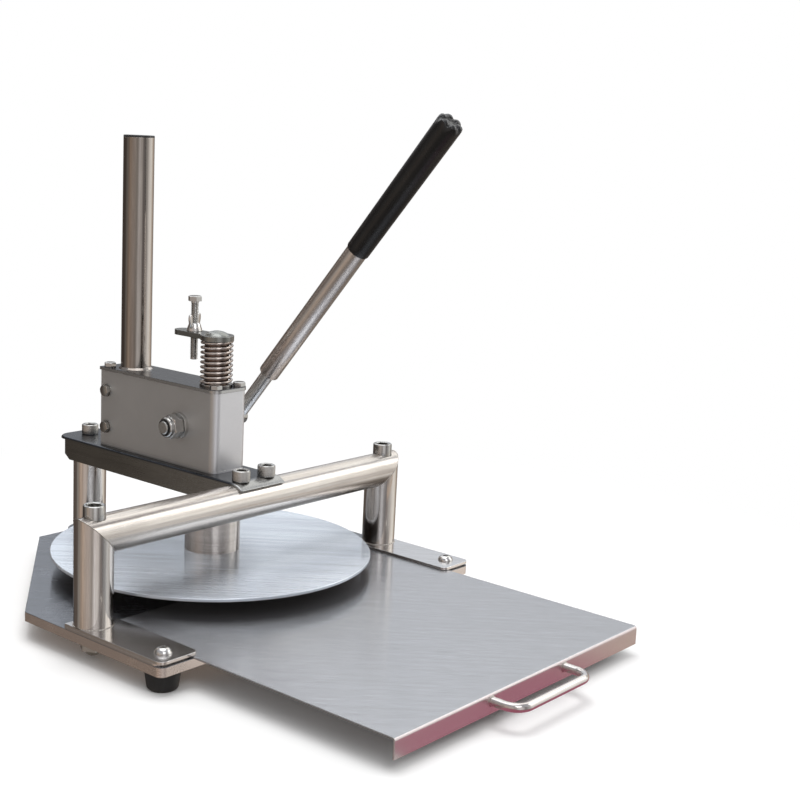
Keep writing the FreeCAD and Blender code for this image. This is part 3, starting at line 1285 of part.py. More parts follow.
def handle_shape():
    """Round bar: two legs, two bends and a grip between them; local origin at the flange's face."""
    half = size("handle_half_width")
    bar = size("handle_bar_radius")
    bend = size("handle_bend")
    reach = size("handle_reach") - bar
    slip = bend * (1 - math.sqrt(0.5))
    left_mid = VECTOR(slip - half, slip - reach, 0)
    right_mid = VECTOR(half - slip, slip - reach, 0)
    edges = [
        Part.LineSegment(VECTOR(-half, 0, 0), VECTOR(-half, bend - reach, 0)).toShape(),
        Part.Arc(VECTOR(-half, bend - reach, 0), left_mid, VECTOR(bend - half, -reach, 0)).toShape(),
        Part.LineSegment(VECTOR(bend - half, -reach, 0), VECTOR(half - bend, -reach, 0)).toShape(),
        Part.Arc(VECTOR(half - bend, -reach, 0), right_mid, VECTOR(half, bend - reach, 0)).toShape(),
        Part.LineSegment(VECTOR(half, bend - reach, 0), VECTOR(half, 0, 0)).toShape(),
    ]
    section = Part.Wire(Part.Circle(VECTOR(-half, 0, 0), VECTOR(0, 1, 0), bar).toShape())
    return Part.Wire(edges).makePipeShell([section], True, False)


handle = doc.addObject("Part::Feature", "tray_handle")
handle.Label = "tray_handle"
handle.Shape = handle_shape()
bind(handle, "Placement.Base.y", "press_axis_y - %s" % TRAY_FRONT)
bind(handle, "Placement.Base.z", "%s + tray_sheet - handle_drop" % BASE_TOP)
node(handle)


def spring_spots():
    """Centre line of the wire as points with headings, a quarter turn apart: flat ends, even pitch between."""
    wire = size("spring_wire")
    radius = size("spring_radius") - wire / 2
    turns = size("spring_turns")
    low = wire / 2 - size("spring_flat")
    rise = size("spring_length") - 2 * low
    quarters = int(round(turns * 4))
    climb = rise / (quarters - 2)
    spots = []
    for step in range(quarters + 1):
        angle = math.pi / 2 * step
        height = low + climb * min(max(step - 1, 0), quarters - 2)
        inside = 1 < step < quarters - 1
        slope = climb / (math.pi / 2) if inside else 0.0
        if step in (1, quarters - 1):
            slope = climb / math.pi
        heading = VECTOR(-radius * math.sin(angle), radius * math.cos(angle), slope)
        heading.normalize()
        spots.append((VECTOR(radius * math.cos(angle), radius * math.sin(angle), height), heading))
    return spots


def biarc(begin, out, end, into):
    """Two arcs that leave begin along out and reach end along into."""
    span = end - begin
    total = out + into
    factor = 2 * (1 - out.dot(into))
    across = span.dot(total)
    if factor < 1e-9:
        reach = span.dot(span) / (2 * across)
    else:
        reach = (-across + math.sqrt(across * across + factor * span.dot(span))) / factor
    first = begin + out * reach
    second = end - into * reach
    middle = (first + second) * 0.5
    return [arc_to(begin, out, middle), arc_to(end, into * -1, middle)], middle


def arc_to(begin, out, end):
    """Edge of the arc that leaves begin along out and passes end."""
    chord = end - begin
    along = out * chord.dot(out)
    side = chord - along
    length = chord.Length
    if side.Length < 1e-7:
        return Part.LineSegment(begin, end).toShape()
    side.normalize()
    radius = length * length / (2 * chord.dot(side))
    centre = begin + side * radius
    halfway = (begin + end) * 0.5 - centre
    halfway.normalize()
    return Part.Arc(begin, centre + halfway * radius, end).toShape()


def spring_shape():
    """One wire wound on even turns, its ends straight for one wire diameter and ground flat."""
    wire = size("spring_wire")
    spots = spring_spots()
    edges = []
    start, heading = spots[0]
    tail = start - heading * wire
    edges.append(Part.LineSegment(tail, start).toShape())
    for (begin, out), (end, into) in zip(spots, spots[1:]):
        pair, middle = biarc(begin, out, end, into)
        edges.append(pair[0])
        edges.append(pair[1])
    finish, leaving = spots[-1]
    edges.append(Part.LineSegment(finish, finish + leaving * wire).toShape())
    path = Part.Wire(Part.__sortEdges__(edges))
    section = Part.Wire(Part.Circle(tail, heading, wire / 2).toShape())
    shell = Part.BRepOffsetAPI.MakePipeShell(path)
    shell.add(section)
    shell.build()
    shell.makeSolid()
    wound = shell.shape()
    room = 2 * size("spring_radius")
    keep = Part.makeBox(2 * room, 2 * room, size("spring_length"), VECTOR(-room, -room, 0))
    return wound.common(keep)


def least_gap():
    """Smallest distance between neighbouring turns of the wire, measured on points of its centre line."""
    wire = size("spring_wire")
    spots = spring_spots()
    start, heading = spots[0]
    finish, leaving = spots[-1]
    line = [start - heading * (wire * step / 4) for step in range(4, 0, -1)]
    for (begin, out), (end, into) in zip(spots, spots[1:]):
        pair, middle = biarc(begin, out, end, into)
        line.extend(pair[0].discretize(9))
        line.extend(reversed(pair[1].discretize(9)))
    line.extend([finish + leaving * (wire * step / 4) for step in range(1, 5)])
    apart = 9 * 5
    least = 1e9
    for first in range(0, len(line), 2):
        for second in range(first + apart, len(line), 2):
            least = min(least, (line[first] - line[second]).Length)
    return least - wire


spring = doc.addObject("Part::Feature", "spring")
spring.Label = "spring"
spring.Shape = spring_shape()
bind(spring, "Placement.Base.y", "press_axis_y")
bind(spring, "Placement.Base.z", SEAT_TOP)
node(spring)
print("least gap between the spring's turns: %.2f mm" % least_gap())

doc.recompute()
for thing in doc.Objects:
    if "Invalid" in thing.State or "Error" in thing.State:
        raise ValueError("%s failed: %s" % (thing.Label, thing.State))
for thing in NODES:
    if thing.Shape.isNull() or not thing.Shape.isValid() or not thing.Shape.Solids:
        raise ValueError("%s has no valid solid" % thing.Label)
os.makedirs("parts", exist_ok=True)
for thing in NODES:
    thing.Shape.exportStep("parts/%s.step" % thing.Label)
print("%d sub-parts written" % len(NODES))
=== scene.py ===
"""Manual dough press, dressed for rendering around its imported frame.

Lengths are in millimetres unless a field says metres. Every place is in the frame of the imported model, whose
Z axis points up and whose front is at -Y. Meshes are made in place, so each object stays at the origin.
"""

import logging
import math
from dataclasses import dataclass
from enum import Enum
from typing import Callable, Sequence

import bmesh
import bpy
from mathutils import Matrix, Vector


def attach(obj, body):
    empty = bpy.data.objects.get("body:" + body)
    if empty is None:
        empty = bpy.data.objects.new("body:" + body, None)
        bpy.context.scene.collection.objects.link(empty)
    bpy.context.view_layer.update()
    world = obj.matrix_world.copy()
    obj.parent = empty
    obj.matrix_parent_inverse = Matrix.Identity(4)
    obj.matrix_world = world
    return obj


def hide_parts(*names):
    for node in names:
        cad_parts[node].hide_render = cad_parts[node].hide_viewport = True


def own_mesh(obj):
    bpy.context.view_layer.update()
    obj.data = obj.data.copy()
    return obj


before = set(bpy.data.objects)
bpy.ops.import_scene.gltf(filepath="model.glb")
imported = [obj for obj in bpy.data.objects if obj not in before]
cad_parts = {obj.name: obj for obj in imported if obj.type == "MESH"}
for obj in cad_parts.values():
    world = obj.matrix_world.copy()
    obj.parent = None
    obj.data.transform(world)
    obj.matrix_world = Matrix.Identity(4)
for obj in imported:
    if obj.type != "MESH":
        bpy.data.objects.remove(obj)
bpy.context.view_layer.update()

LOG = logging.getLogger("dough_press")
MM = 0.001
FULL_TURN = 2.0 * math.pi
SIDES = (-1, 1)

# Points closer than this become one: in metres in a finished piece, in millimetres in a turned blank.
MERGE = 0.002 * MM
SAME_POINT = 1e-4
# How near to a round wall, in millimetres, a point counts as lying on it.
ON_WALL = 1e-3
# Edges that bend more than this are shaded sharp.
SHARP = math.radians(32.0)
# How many flats make a wire and a weld bead round.
WIRE_SIDES = 16
BEAD_SIDES = 8

Socket = bpy.types.NodeSocket
Colour = tuple[float, float, float]
Span = tuple[float, float]
Value = float | int | Sequence[float] | Socket
Joins = dict[str | int, Value]
Rule = Callable[[Vector], Vector]


class Lay(Enum):
    """The way the fine lines of a finish run."""

    ACROSS = "lines along X"
    LENGTHWISE = "lines along Y"
    UPRIGHT = "lines along Z"
    SLANTED = "lines along the sheet's rolling direction"
    LEVER = "lines along the raised lever"
    TURNED = "rings about an axis"
    BLASTED = "no lines, a fine speckle"


class Axis(Enum):
    """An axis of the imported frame, with its place in a vector."""

    X = 0
    Y = 1
    Z = 2


class Wiring:
    """A node tree with short calls that add a node and join its sockets."""

    def __init__(self, tree: bpy.types.NodeTree) -> None:
        """Empties the tree, ready to be filled."""
        self.tree = tree
        tree.nodes.clear()

    @classmethod
    def material(cls, name: str) -> tuple[bpy.types.Material, "Wiring"]:
        """Makes a material.

        Args:
            name: Its name.

        Returns:
            The material and its empty wiring.
        """
        made = bpy.data.materials.new(name)
        made.use_nodes = True
        return made, cls(made.node_tree)

    def node(self, kind: str, joins: Joins | None = None, **settings: object) -> bpy.types.Node:
        """Adds a node.

        Args:
            kind: The node's type, without the word ShaderNode.
            joins: A value or another node's socket for each input, by its name or number.
            settings: Values for the node's own options.

        Returns:
            The new node.
        """
        made = self.tree.nodes.new(kind if kind.startswith("Node") else "ShaderNode" + kind)
        for option, value in settings.items():
            setattr(made, option, value)
        for place, value in (joins or {}).items():
            self.join(value, made.inputs[place])
        return made

    def join(self, value: Value, target: Socket) -> None:
        """Links a socket to the target, or writes a value into it.

        Args:
            value: The socket, number or vector.
            target: The input that takes it.
        """
        if isinstance(value, bpy.types.NodeSocket):
            self.tree.links.new(value, target)
        elif target.type == "RGBA":
            target.default_value = (*value[:3], 1.0)
        else:
            target.default_value = value

    def sum(self, operation: str, first: Value, second: Value = 0.0, clamped: bool = False) -> Socket:
        """The result of a Math node, kept between 0 and 1 if clamped."""
        return self.node("Math", {0: first, 1: second}, operation=operation, use_clamp=clamped).outputs[0]

    def times(self, first: Value, second: Value) -> Socket:
        """The product of two numbers."""
        return self.sum("MULTIPLY", first, second)

    def mixed(self, share: Value, first: Value, second: Value) -> Socket:
        """Two colours mixed; the share says how much of the second there is."""
        return self.node("Mix", {0: share, 6: first, 7: second}, data_type="RGBA").outputs[2]

    def ranged(self, value: Value, low: float, high: float, to_low: float = 0, to_high: float = 1) -> Socket:
        """Maps low to to_low and high to to_high, smoothly and with nothing beyond them."""
        joins = {"Value": value, "From Min": low, "From Max": high, "To Min": to_low, "To Max": to_high}
        return self.node("MapRange", joins, interpolation_type="SMOOTHSTEP").outputs["Result"]

    def noise(self, scale: Value, detail: float, roughness: float = 0.5, **joins: Value) -> Socket:
        """A noise in space, at a Vector, or along a line, at a W."""
        joins |= {"Scale": scale, "Detail": detail, "Roughness": roughness}
        return self.node("TexNoise", joins, noise_dimensions="1D" if "W" in joins else "3D").outputs["Fac"]

    def effect(self, group: bpy.types.NodeTree, vector: Value, fineness: Value) -> bpy.types.Node:
        """A shared group's node, at a vector."""
        return self.node("Group", {0: vector, 1: fineness}, node_tree=group)

    def blended(self, share: Value, first: Socket, second: Socket) -> Socket:
        """Two shaders mixed; the share says how much of the second there is."""
        return self.node("MixShader", {0: share, 1: first, 2: second}).outputs[0]

    def glow(self, colour: Value) -> Socket:
        """A plain glow of a colour."""
        return self.node("Emission", {"Color": colour, "Strength": 1.0}).outputs[0]


class Effects:
    """The effects that several finishes share, each built once as a node group."""

    # How fine the broad parts are, as a share of the fine ones.
    BRUSHED_BANDS = 0.11
    TURNED_BANDS = 0.15
    BLASTED_CLOUDS = 0.02
    # The stretch of the noise that turns into bands, clouds or patches.
    BRUSHED_SPAN = (0.32, 0.68)
    TURNED_SPAN = (0.35, 0.65)
    BLASTED_SPAN = (0.3, 0.7)
    MARKED_SPAN = (0.45, 0.72)
    # How far the rings shift with height, so that an upright wall has them too.
    RING_DRIFT = 0.7

    def __init__(self) -> None:
        """Builds all groups."""
        self.brushed = self.group("brush_lines", self.fill_brushed, ("Lines", "Bands"))
        self.turned = self.group("turning_rings", self.fill_turned, ("Lines", "Bands"))
        self.blasted = self.group("blasted_speckle", self.fill_blasted, ("Lines", "Bands"))
        self.marks = self.group("handling_marks", self.fill_marks, ("Mask",))
        self.edges = self.group("polished_edges", self.fill_edges, ("Mask",), "Rounded")

    @staticmethod
    def group(
        name: str,
        fill: Callable[[Wiring, Socket, Socket], tuple[Socket, ...]],
        results: tuple[str, ...],
        vector: str = "Vector",
    ) -> bpy.types.ShaderNodeTree:
        """Makes one group with a vector and a number as inputs.

        Args:
            name: The group's name.
            fill: What adds its nodes and returns the sockets of its results.
            results: The names of its outputs.
            vector: The name of its vector.

        Returns:
            The group.
        """
        tree = bpy.data.node_groups.new(name, "ShaderNodeTree")
        ends = tree.interface
        ends.new_socket(vector, in_out="INPUT", socket_type="NodeSocketVector")
        ends.new_socket("Fineness", in_out="INPUT", socket_type="NodeSocketFloat")
        for result in results:
            ends.new_socket(result, in_out="OUTPUT", socket_type="NodeSocketFloat")
        wiring = Wiring(tree)
        source = wiring.node("NodeGroupInput").outputs
        target = wiring.node("NodeGroupOutput").inputs
        for number, socket in enumerate(fill(wiring, source[0], source[1])):
            wiring.join(socket, target[number])
        return tree

    @classmethod
    def fill_brushed(cls, wiring: Wiring, point: Socket, fineness: Socket) -> tuple[Socket, ...]:
        """Fine lines and broad bands; the material stretches the point along the lines."""
        bands = wiring.noise(wiring.times(fineness, cls.BRUSHED_BANDS), 1.0, Vector=point)
        return wiring.noise(fineness, 3.0, 0.65, Vector=point), wiring.ranged(bands, *cls.BRUSHED_SPAN)

    @classmethod
    def fill_turned(cls, wiring: Wiring, point: Socket, fineness: Socket) -> tuple[Socket, ...]:
        """Rings about the point's Z axis.

        Args:
            wiring: The group's wiring.
            point: The point.
            fineness: Rings per metre.

        Returns:
            The fine rings and the broad rings.
        """
        parts = wiring.node("SeparateXYZ", {0: point}).outputs
        flat = wiring.node("CombineXYZ", {"X": parts["X"], "Y": parts["Y"]}).outputs[0]
        radius = wiring.node("VectorMath", {0: flat}, operation="LENGTH").outputs["Value"]
        run = wiring.sum("ADD", radius, wiring.times(parts["Z"], cls.RING_DRIFT))
        bands = wiring.noise(wiring.times(fineness, cls.TURNED_BANDS), 1.0, W=run)
        return wiring.noise(fineness, 3.0, W=run), wiring.ranged(bands, *cls.TURNED_SPAN)

    @classmethod
    def fill_blasted(cls, wiring: Wiring, point: Socket, fineness: Socket) -> tuple[Socket, ...]:
        """A fine speckle and soft clouds."""
        clouds = wiring.noise(wiring.times(fineness, cls.BLASTED_CLOUDS), 3.0, 0.55, Vector=point)
        return wiring.noise(fineness, 2.0, 0.7, Vector=point), wiring.ranged(clouds, *cls.BLASTED_SPAN)

    @classmethod
    def fill_marks(cls, wiring: Wiring, point: Socket, fineness: Socket) -> tuple[Socket, ...]:
        """Soft patches where hands and cloths have been."""
        patches = wiring.noise(fineness, 4.0, Vector=point, Distortion=0.6)
        return (wiring.ranged(patches, *cls.MARKED_SPAN),)

    @staticmethod
    def fill_edges(wiring: Wiring, rounded: Socket, steepness: Socket) -> tuple[Socket, ...]:
        """A mask of the edges, where the rounded normal leaves the true one.

        Args:
            wiring: The group's wiring.
            rounded: The rounded normal.
            steepness: How sharply the mask rises.

        Returns:
            The mask, from 0 to 1.
        """
        joins = {0: rounded, 1: wiring.node("NewGeometry").outputs["Normal"]}
        likeness = wiring.node("VectorMath", joins, operation="DOT_PRODUCT").outputs["Value"]
        leaving = wiring.sum("SUBTRACT", 1.0, likeness, clamped=True)
        return (wiring.sum("MULTIPLY", leaving, steepness, clamped=True),)


@dataclass(frozen=True)
class Patch:
    """A stretch along one axis where a finish takes another colour; most patches here are painted shade,
    highlights and reflections.

    Attributes:
        axis: The axis it is measured along.
        start: Where the change begins.
        end: Where it is complete.
        colour: The colour there.
    """

    axis: Axis
    start: float
    end: float
    colour: Colour


@dataclass(frozen=True)
class Metal:
    """A worked metal surface.

    Attributes:
        name: The material's name.
        base: The metal's colour.
        deep: The colour of its darker bands.
        lay: The way its lines run.
        roughness: Its mean roughness.
        spread: How much the lines change the roughness.
        banding: How strongly the darker bands show.
        fineness: Lines per metre.
        relief: The depth of the lines.
        edge: The radius of its broken edges.
        shine: How much brighter worn edges are.
        marks: How much handling dulls it.
        centre: A point on the axis of turned work.
        tilt: Degrees about X, Y and Z that bring that axis to its place.
        patches: Places with another colour, most of them painted shade, highlights and reflections.
        drawn: The way its reflections are drawn out, across its lines; none for an even shine.
        bare: How metallic it looks; less where blasting or use leaves it matt.
    """

    name: str
    base: Colour
    deep: Colour
    lay: Lay
    roughness: float
    spread: float = 0.10
    banding: float = 0.5
    fineness: float = 2200.0
    relief: float = 0.002
    edge: float = 0.5
    shine: float = 0.35
    marks: float = 0.06
    centre: tuple[float, float, float] = (0.0, 0.0, 0.0)
    tilt: tuple[float, float, float] = (0.0, 0.0, 0.0)
    patches: tuple[Patch, ...] = ()
    drawn: tuple[float, float, float] | None = None
    bare: float = 1.0

    STRETCH = 40.0
    ALONG = {
        Lay.ACROSS: (STRETCH, 1.0, 1.0),
        Lay.SLANTED: (STRETCH, 1.0, 1.0),
        Lay.LENGTHWISE: (1.0, STRETCH, 1.0),
        Lay.UPRIGHT: (1.0, 1.0, STRETCH),
        Lay.LEVER: (1.0, 1.0, STRETCH),
    }
    ROLLING_ANGLE = -49.5
    LEVER_TILT = 40.0
    TILTS = {Lay.SLANTED: (0.0, 0.0, ROLLING_ANGLE), Lay.LEVER: (LEVER_TILT, 0.0, 0.0)}
    MARK_FINENESS = 24.0
    EDGE_SAMPLES = 4
    EDGE_STEEPNESS = 3.0
    WORN_SHARE = 0.6
    LINE_TONES = (0.25, 0.75, 0.88, 1.10)
    ROUGH_LINES = (0.2, 0.8)

    def pattern(self, effects: Effects) -> bpy.types.ShaderNodeTree:
        """The group that draws this finish's lines."""
        return {Lay.TURNED: effects.turned, Lay.BLASTED: effects.blasted}.get(self.lay, effects.brushed)

    def material(self, effects: Effects) -> bpy.types.Material:
        """Builds the material.

        Args:
            effects: The shared groups.

        Returns:
            The new material.
        """
        made, wiring = Wiring.material(self.name)
        place = wiring.node("TexCoord").outputs["Object"]
        laid = {
            "Vector": place,
            "Location": tuple(length * MM for length in self.centre),
            "Rotation": tuple(math.radians(angle) for angle in self.TILTS.get(self.lay, self.tilt)),
            "Scale": self.ALONG.get(self.lay, (1.0, 1.0, 1.0)),
        }
        mapped = wiring.node("Mapping", laid, vector_type="TEXTURE").outputs[0]
        lines, bands = wiring.effect(self.pattern(effects), mapped, self.fineness).outputs
        handled = wiring.effect(effects.marks, place, self.MARK_FINENESS).outputs["Mask"]
        rounded = wiring.node("Bevel", {"Radius": self.edge * MM}, samples=self.EDGE_SAMPLES).outputs[0]
        worn = wiring.effect(effects.edges, rounded, self.EDGE_STEEPNESS).outputs["Mask"]
        low, high = self.roughness - self.spread / 2, self.roughness + self.spread / 2
        rough = wiring.ranged(lines, *self.ROUGH_LINES, low, high)
        relief = {"Strength": 1.0, "Distance": self.relief * MM, "Height": lines, "Normal": rounded}
        joins = {
            "Base Color": self.colour(wiring, place, lines, bands, worn),
            "Metallic": self.bare,
            "Roughness": wiring.sum("ADD", rough, wiring.times(handled, self.marks)),
            "Normal": wiring.node("Bump", relief).outputs[0],
        }
        if self.drawn:
            turned = {"vector_type": "VECTOR", "convert_from": "OBJECT", "convert_to": "WORLD"}
            joins["Anisotropic"] = 1.0
            joins["Tangent"] = wiring.node("VectorTransform", {"Vector": self.drawn}, **turned).outputs[0]
        wiring.node("OutputMaterial", {"Surface": wiring.node("BsdfPrincipled", joins).outputs[0]})
        return made

    def colour(self, wiring: Wiring, place: Socket, lines: Socket, bands: Socket, worn: Socket) -> Socket:
        """Wires the colour: bands, patches (mostly painted light and shade), lines and brighter edges.

        Args:
            wiring: The material's wiring.
            place: The point on the object.
            lines: The fine lines.
            bands: The broad bands.
            worn: The mask of the worn edges.

        Returns:
            The colour's socket.
        """
        colour = wiring.mixed(wiring.times(bands, self.banding), self.base, self.deep)
        for patch in self.patches:
            part = wiring.node("SeparateXYZ", {0: place}).outputs[patch.axis.value]
            low, high = sorted((patch.start, patch.end))
            falls = patch.start > patch.end
            share = wiring.ranged(part, low * MM, high * MM, float(falls), float(not falls))
            colour = wiring.mixed(share, colour, patch.colour)
        fine = wiring.ranged(lines, *self.LINE_TONES)
        colour = wiring.node("VectorMath", {0: colour, "Scale": fine}, operation="SCALE").outputs[0]
        bright = tuple(min(1.0, part + self.shine) for part in self.base)
        return wiring.mixed(wiring.times(worn, self.WORN_SHARE), colour, bright)


@dataclass(frozen=True)
class Moulded:
    """Moulded rubber or plastic.

    Attributes:
        name: The material's name.
        base: Its colour.
        worn: Its colour where it has been handled.
        roughness: Its mean roughness.
        coat: How glossy its skin is.
        grain: Grains per metre.
        relief: The depth of the grain.
    """

    name: str
    base: Colour
    worn: Colour
    roughness: float
    coat: float = 0.0
    grain: float = 1600.0
    relief: float = 0.02

    MARK_FINENESS = 30.0
    WORN_SHARE = 0.7
    SPREAD = 0.05
    COAT_ROUGHNESS = 0.12

    def material(self, effects: Effects) -> bpy.types.Material:
        """Builds the material.

        Args:
            effects: The shared groups.

        Returns:
            The new material.
        """
        made, wiring = Wiring.material(self.name)
        place = wiring.node("TexCoord").outputs["Object"]
        speckle, clouds = wiring.effect(effects.blasted, place, self.grain).outputs
        handled = wiring.effect(effects.marks, place, self.MARK_FINENESS).outputs["Mask"]
        low, high = self.roughness - self.SPREAD, self.roughness + self.SPREAD
        relief = {"Strength": 1.0, "Distance": self.relief * MM, "Height": speckle}
        joins = {
            "Base Color": wiring.mixed(wiring.times(handled, self.WORN_SHARE), self.base, self.worn),
            "Roughness": wiring.ranged(clouds, 0.0, 1.0, low, high),
            "Normal": wiring.node("Bump", relief).outputs[0],
            "Coat Weight": self.coat,
            "Coat Roughness": self.COAT_ROUGHNESS,
        }
        wiring.node("OutputMaterial", {"Surface": wiring.node("BsdfPrincipled", joins).outputs[0]})
        return made


WARM_STEEL: Colour = (0.68, 0.64, 0.60)
BROWN_BAND: Colour = (0.34, 0.27, 0.22)
ALONG_X = (1.0, 0.0, 0.0)
ACROSS_ROLLING = (0.76, 0.65, 0.0)
RAM_AXIS = (0.0, 90.0, 0.0)
SHAFT_AXIS = (0.0, 115.0, 157.5)


class Finishes:
    """Every finish of the press, as ready materials."""

    LIST: tuple[Metal | Moulded, ...] = (
        Metal("post_tube", WARM_STEEL, BROWN_BAND, Lay.UPRIGHT, 0.10, spread=0.04, banding=0.3),
        # Painted shade: the cross tube's underside, below z 89, is painted darker brown.
        Metal("cross_tube", WARM_STEEL, BROWN_BAND, Lay.ACROSS, 0.20, spread=0.06, banding=0.3, drawn=ALONG_X,
              patches=(Patch(Axis.Z, 98.0, 89.0, (0.33, 0.295, 0.26)),)),
        # Painted light and shade: the tall tube's left side is painted dark and its right side, from x 8,
        # light.
        Metal("tall_tube", (0.36, 0.33, 0.30), (0.18, 0.14, 0.115), Lay.UPRIGHT, 0.11, spread=0.04,
              banding=0.4, patches=(Patch(Axis.X, -6.0, 8.0, (0.66, 0.61, 0.57)),)),
        # Painted highlight and reflection: the base plate's cut edges, below z 23.3, are painted light and
        # warm.
        Metal("base_sheet", (0.19, 0.20, 0.22), (0.145, 0.15, 0.16), Lay.SLANTED, 0.22, spread=0.06,
              banding=0.3, drawn=ACROSS_ROLLING, patches=(Patch(Axis.Z, 23.8, 23.3, (0.74, 0.64, 0.58)),)),
        # Painted highlight and reflection: the rails' edges and the spacers under them, below z 28.1, are
        # painted lighter and warmer.
        Metal("rail_sheet", (0.66, 0.65, 0.65), (0.54, 0.52, 0.51), Lay.SLANTED, 0.18, spread=0.06,
              banding=0.3, patches=(Patch(Axis.Z, 28.4, 28.1, (0.74, 0.67, 0.62)),)),
        # Painted reflection: the tray's front flange, from y -260.7 forward, is painted pinkish.
        Metal("tray_sheet", (0.42, 0.43, 0.455), (0.36, 0.365, 0.385), Lay.SLANTED, 0.24, spread=0.04,
              banding=0.3, marks=0.0, bare=0.88, drawn=ACROSS_ROLLING,
              patches=(Patch(Axis.Y, -259.4, -260.7, (0.70, 0.62, 0.62)),)),
        # Painted shade: the press plate's underside, below z 42.8, is painted dark.
        Metal("press_sheet", (0.70, 0.75, 0.82), (0.50, 0.54, 0.60), Lay.SLANTED, 0.25, spread=0.05,
              marks=0.0, bare=0.68, drawn=ACROSS_ROLLING, fineness=220.0, relief=0.0018,
              patches=(Patch(Axis.Z, 43.3, 42.8, (0.36, 0.32, 0.30)),)),
        Metal("dark_channel", (0.20, 0.19, 0.17), (0.14, 0.13, 0.115), Lay.LENGTHWISE, 0.27, shine=0.22,
              # Painted light: the channel is painted lighter towards the front, from y 210 to y 70.
              patches=(Patch(Axis.Y, 210.0, 70.0, (0.29, 0.275, 0.25)),
                       # Painted dark reflection: the channel's top, above z 119, is painted near black and
                       # bluish.
                       Patch(Axis.Z, 117.5, 119.0, (0.055, 0.06, 0.07)),
                       # Painted highlight: the front lap over the cross tube, from y 33 forward, is painted
                       # lighter.
                       Patch(Axis.Y, 42.0, 33.0, (0.38, 0.38, 0.375)))),
        # Painted light: the housing's front face, from y 70.5 forward, is painted much lighter than its sides.
        Metal("satin_housing", (0.46, 0.445, 0.43), (0.41, 0.395, 0.38), Lay.BLASTED, 0.36, spread=0.02,
              bare=0.75, banding=0.3, fineness=3400.0, relief=0.001, edge=0.6,
              patches=(Patch(Axis.Y, 74.5, 70.5, (0.68, 0.68, 0.70)),)),
        # Painted highlight: the lid's edge, below z 195, is painted light grey under its dark top.
        Metal("blue_lid", (0.085, 0.090, 0.100), (0.06, 0.064, 0.07), Lay.LENGTHWISE, 0.24, banding=0.3,
              patches=(Patch(Axis.Z, 195.4, 195.0, (0.46, 0.46, 0.455)),)),
        Metal("hub_steel", (0.60, 0.54, 0.49), (0.42, 0.35, 0.30), Lay.TURNED, 0.10, spread=0.04,
              banding=0.25, relief=0.001, centre=RAM_AXIS),
        Metal("fastener", (0.54, 0.535, 0.52), (0.38, 0.365, 0.345), Lay.BLASTED, 0.17, spread=0.06,
              edge=0.3),
        Metal("dull_fastener", (0.40, 0.385, 0.36), (0.26, 0.245, 0.22), Lay.BLASTED, 0.19, spread=0.06,
              edge=0.3),
        Metal("polished_screw", (0.66, 0.65, 0.64), (0.55, 0.53, 0.50), Lay.BLASTED, 0.12, spread=0.04,
              edge=0.3),
        Metal("spring_wire", (0.66, 0.60, 0.56), (0.44, 0.35, 0.30), Lay.BLASTED, 0.14, spread=0.04,
              edge=0.1),
        Metal("cap_steel", (0.27, 0.275, 0.26), (0.21, 0.21, 0.195), Lay.BLASTED, 0.26, edge=0.6),
        Metal("shaft_steel", (0.55, 0.54, 0.52), (0.40, 0.385, 0.365), Lay.TURNED, 0.20,
              centre=SHAFT_AXIS, tilt=(0.0, 90.0, 0.0)),
        Metal("ram_steel", (0.17, 0.125, 0.105), (0.10, 0.075, 0.06), Lay.TURNED, 0.26, centre=RAM_AXIS,
              patches=(Patch(Axis.Z, 240.0, 240.8, (0.27, 0.275, 0.26)),)),
        Metal("block_steel", (0.42, 0.41, 0.40), (0.33, 0.32, 0.31), Lay.BLASTED, 0.38),
        Metal("bush_bronze", (0.44, 0.33, 0.22), (0.32, 0.22, 0.14), Lay.TURNED, 0.28, centre=RAM_AXIS),
        Metal("seat_steel", (0.40, 0.385, 0.37), (0.30, 0.28, 0.26), Lay.TURNED, 0.22, centre=RAM_AXIS),
        Metal("lever_rod_steel", (0.92, 0.91, 0.90), (0.75, 0.74, 0.73), Lay.LEVER, 0.27, spread=0.05,
              banding=0.3, edge=0.2),
        Metal("lever_tube_steel", (0.80, 0.75, 0.71), (0.52, 0.44, 0.40), Lay.LEVER, 0.25, spread=0.04,
              banding=0.3, relief=0.001, edge=0.2),
        Metal("handle_bar", (0.66, 0.63, 0.61), (0.50, 0.43, 0.40), Lay.ACROSS, 0.13, spread=0.04,
              banding=0.3),
        Metal("weld_bead", (0.50, 0.47, 0.44), (0.36, 0.32, 0.28), Lay.BLASTED, 0.30, fineness=1400.0,
              edge=0.1),
        Moulded("foot_rubber", (0.012, 0.012, 0.013), (0.03, 0.029, 0.028), 0.55),
        Moulded("grip_rubber", (0.003, 0.003, 0.0035), (0.006, 0.006, 0.006), 0.27, coat=0.12, relief=0.003),
        Moulded("dark_plastic", (0.015, 0.015, 0.016), (0.04, 0.04, 0.04), 0.42),
    )

    def __init__(self) -> None:
        """Builds every material once."""
        effects = Effects()
        self.made = {finish.name: finish.material(effects) for finish in self.LIST}

    def dress(self, finish: str, *nodes: str) -> None:
        """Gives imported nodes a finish.

        Args:
            finish: The finish's name.
            nodes: The nodes' names.
        """
        for name in nodes:
            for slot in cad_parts[name].material_slots:
                slot.material = self.made[finish]
            LOG.info("node %s: %s", name, finish)


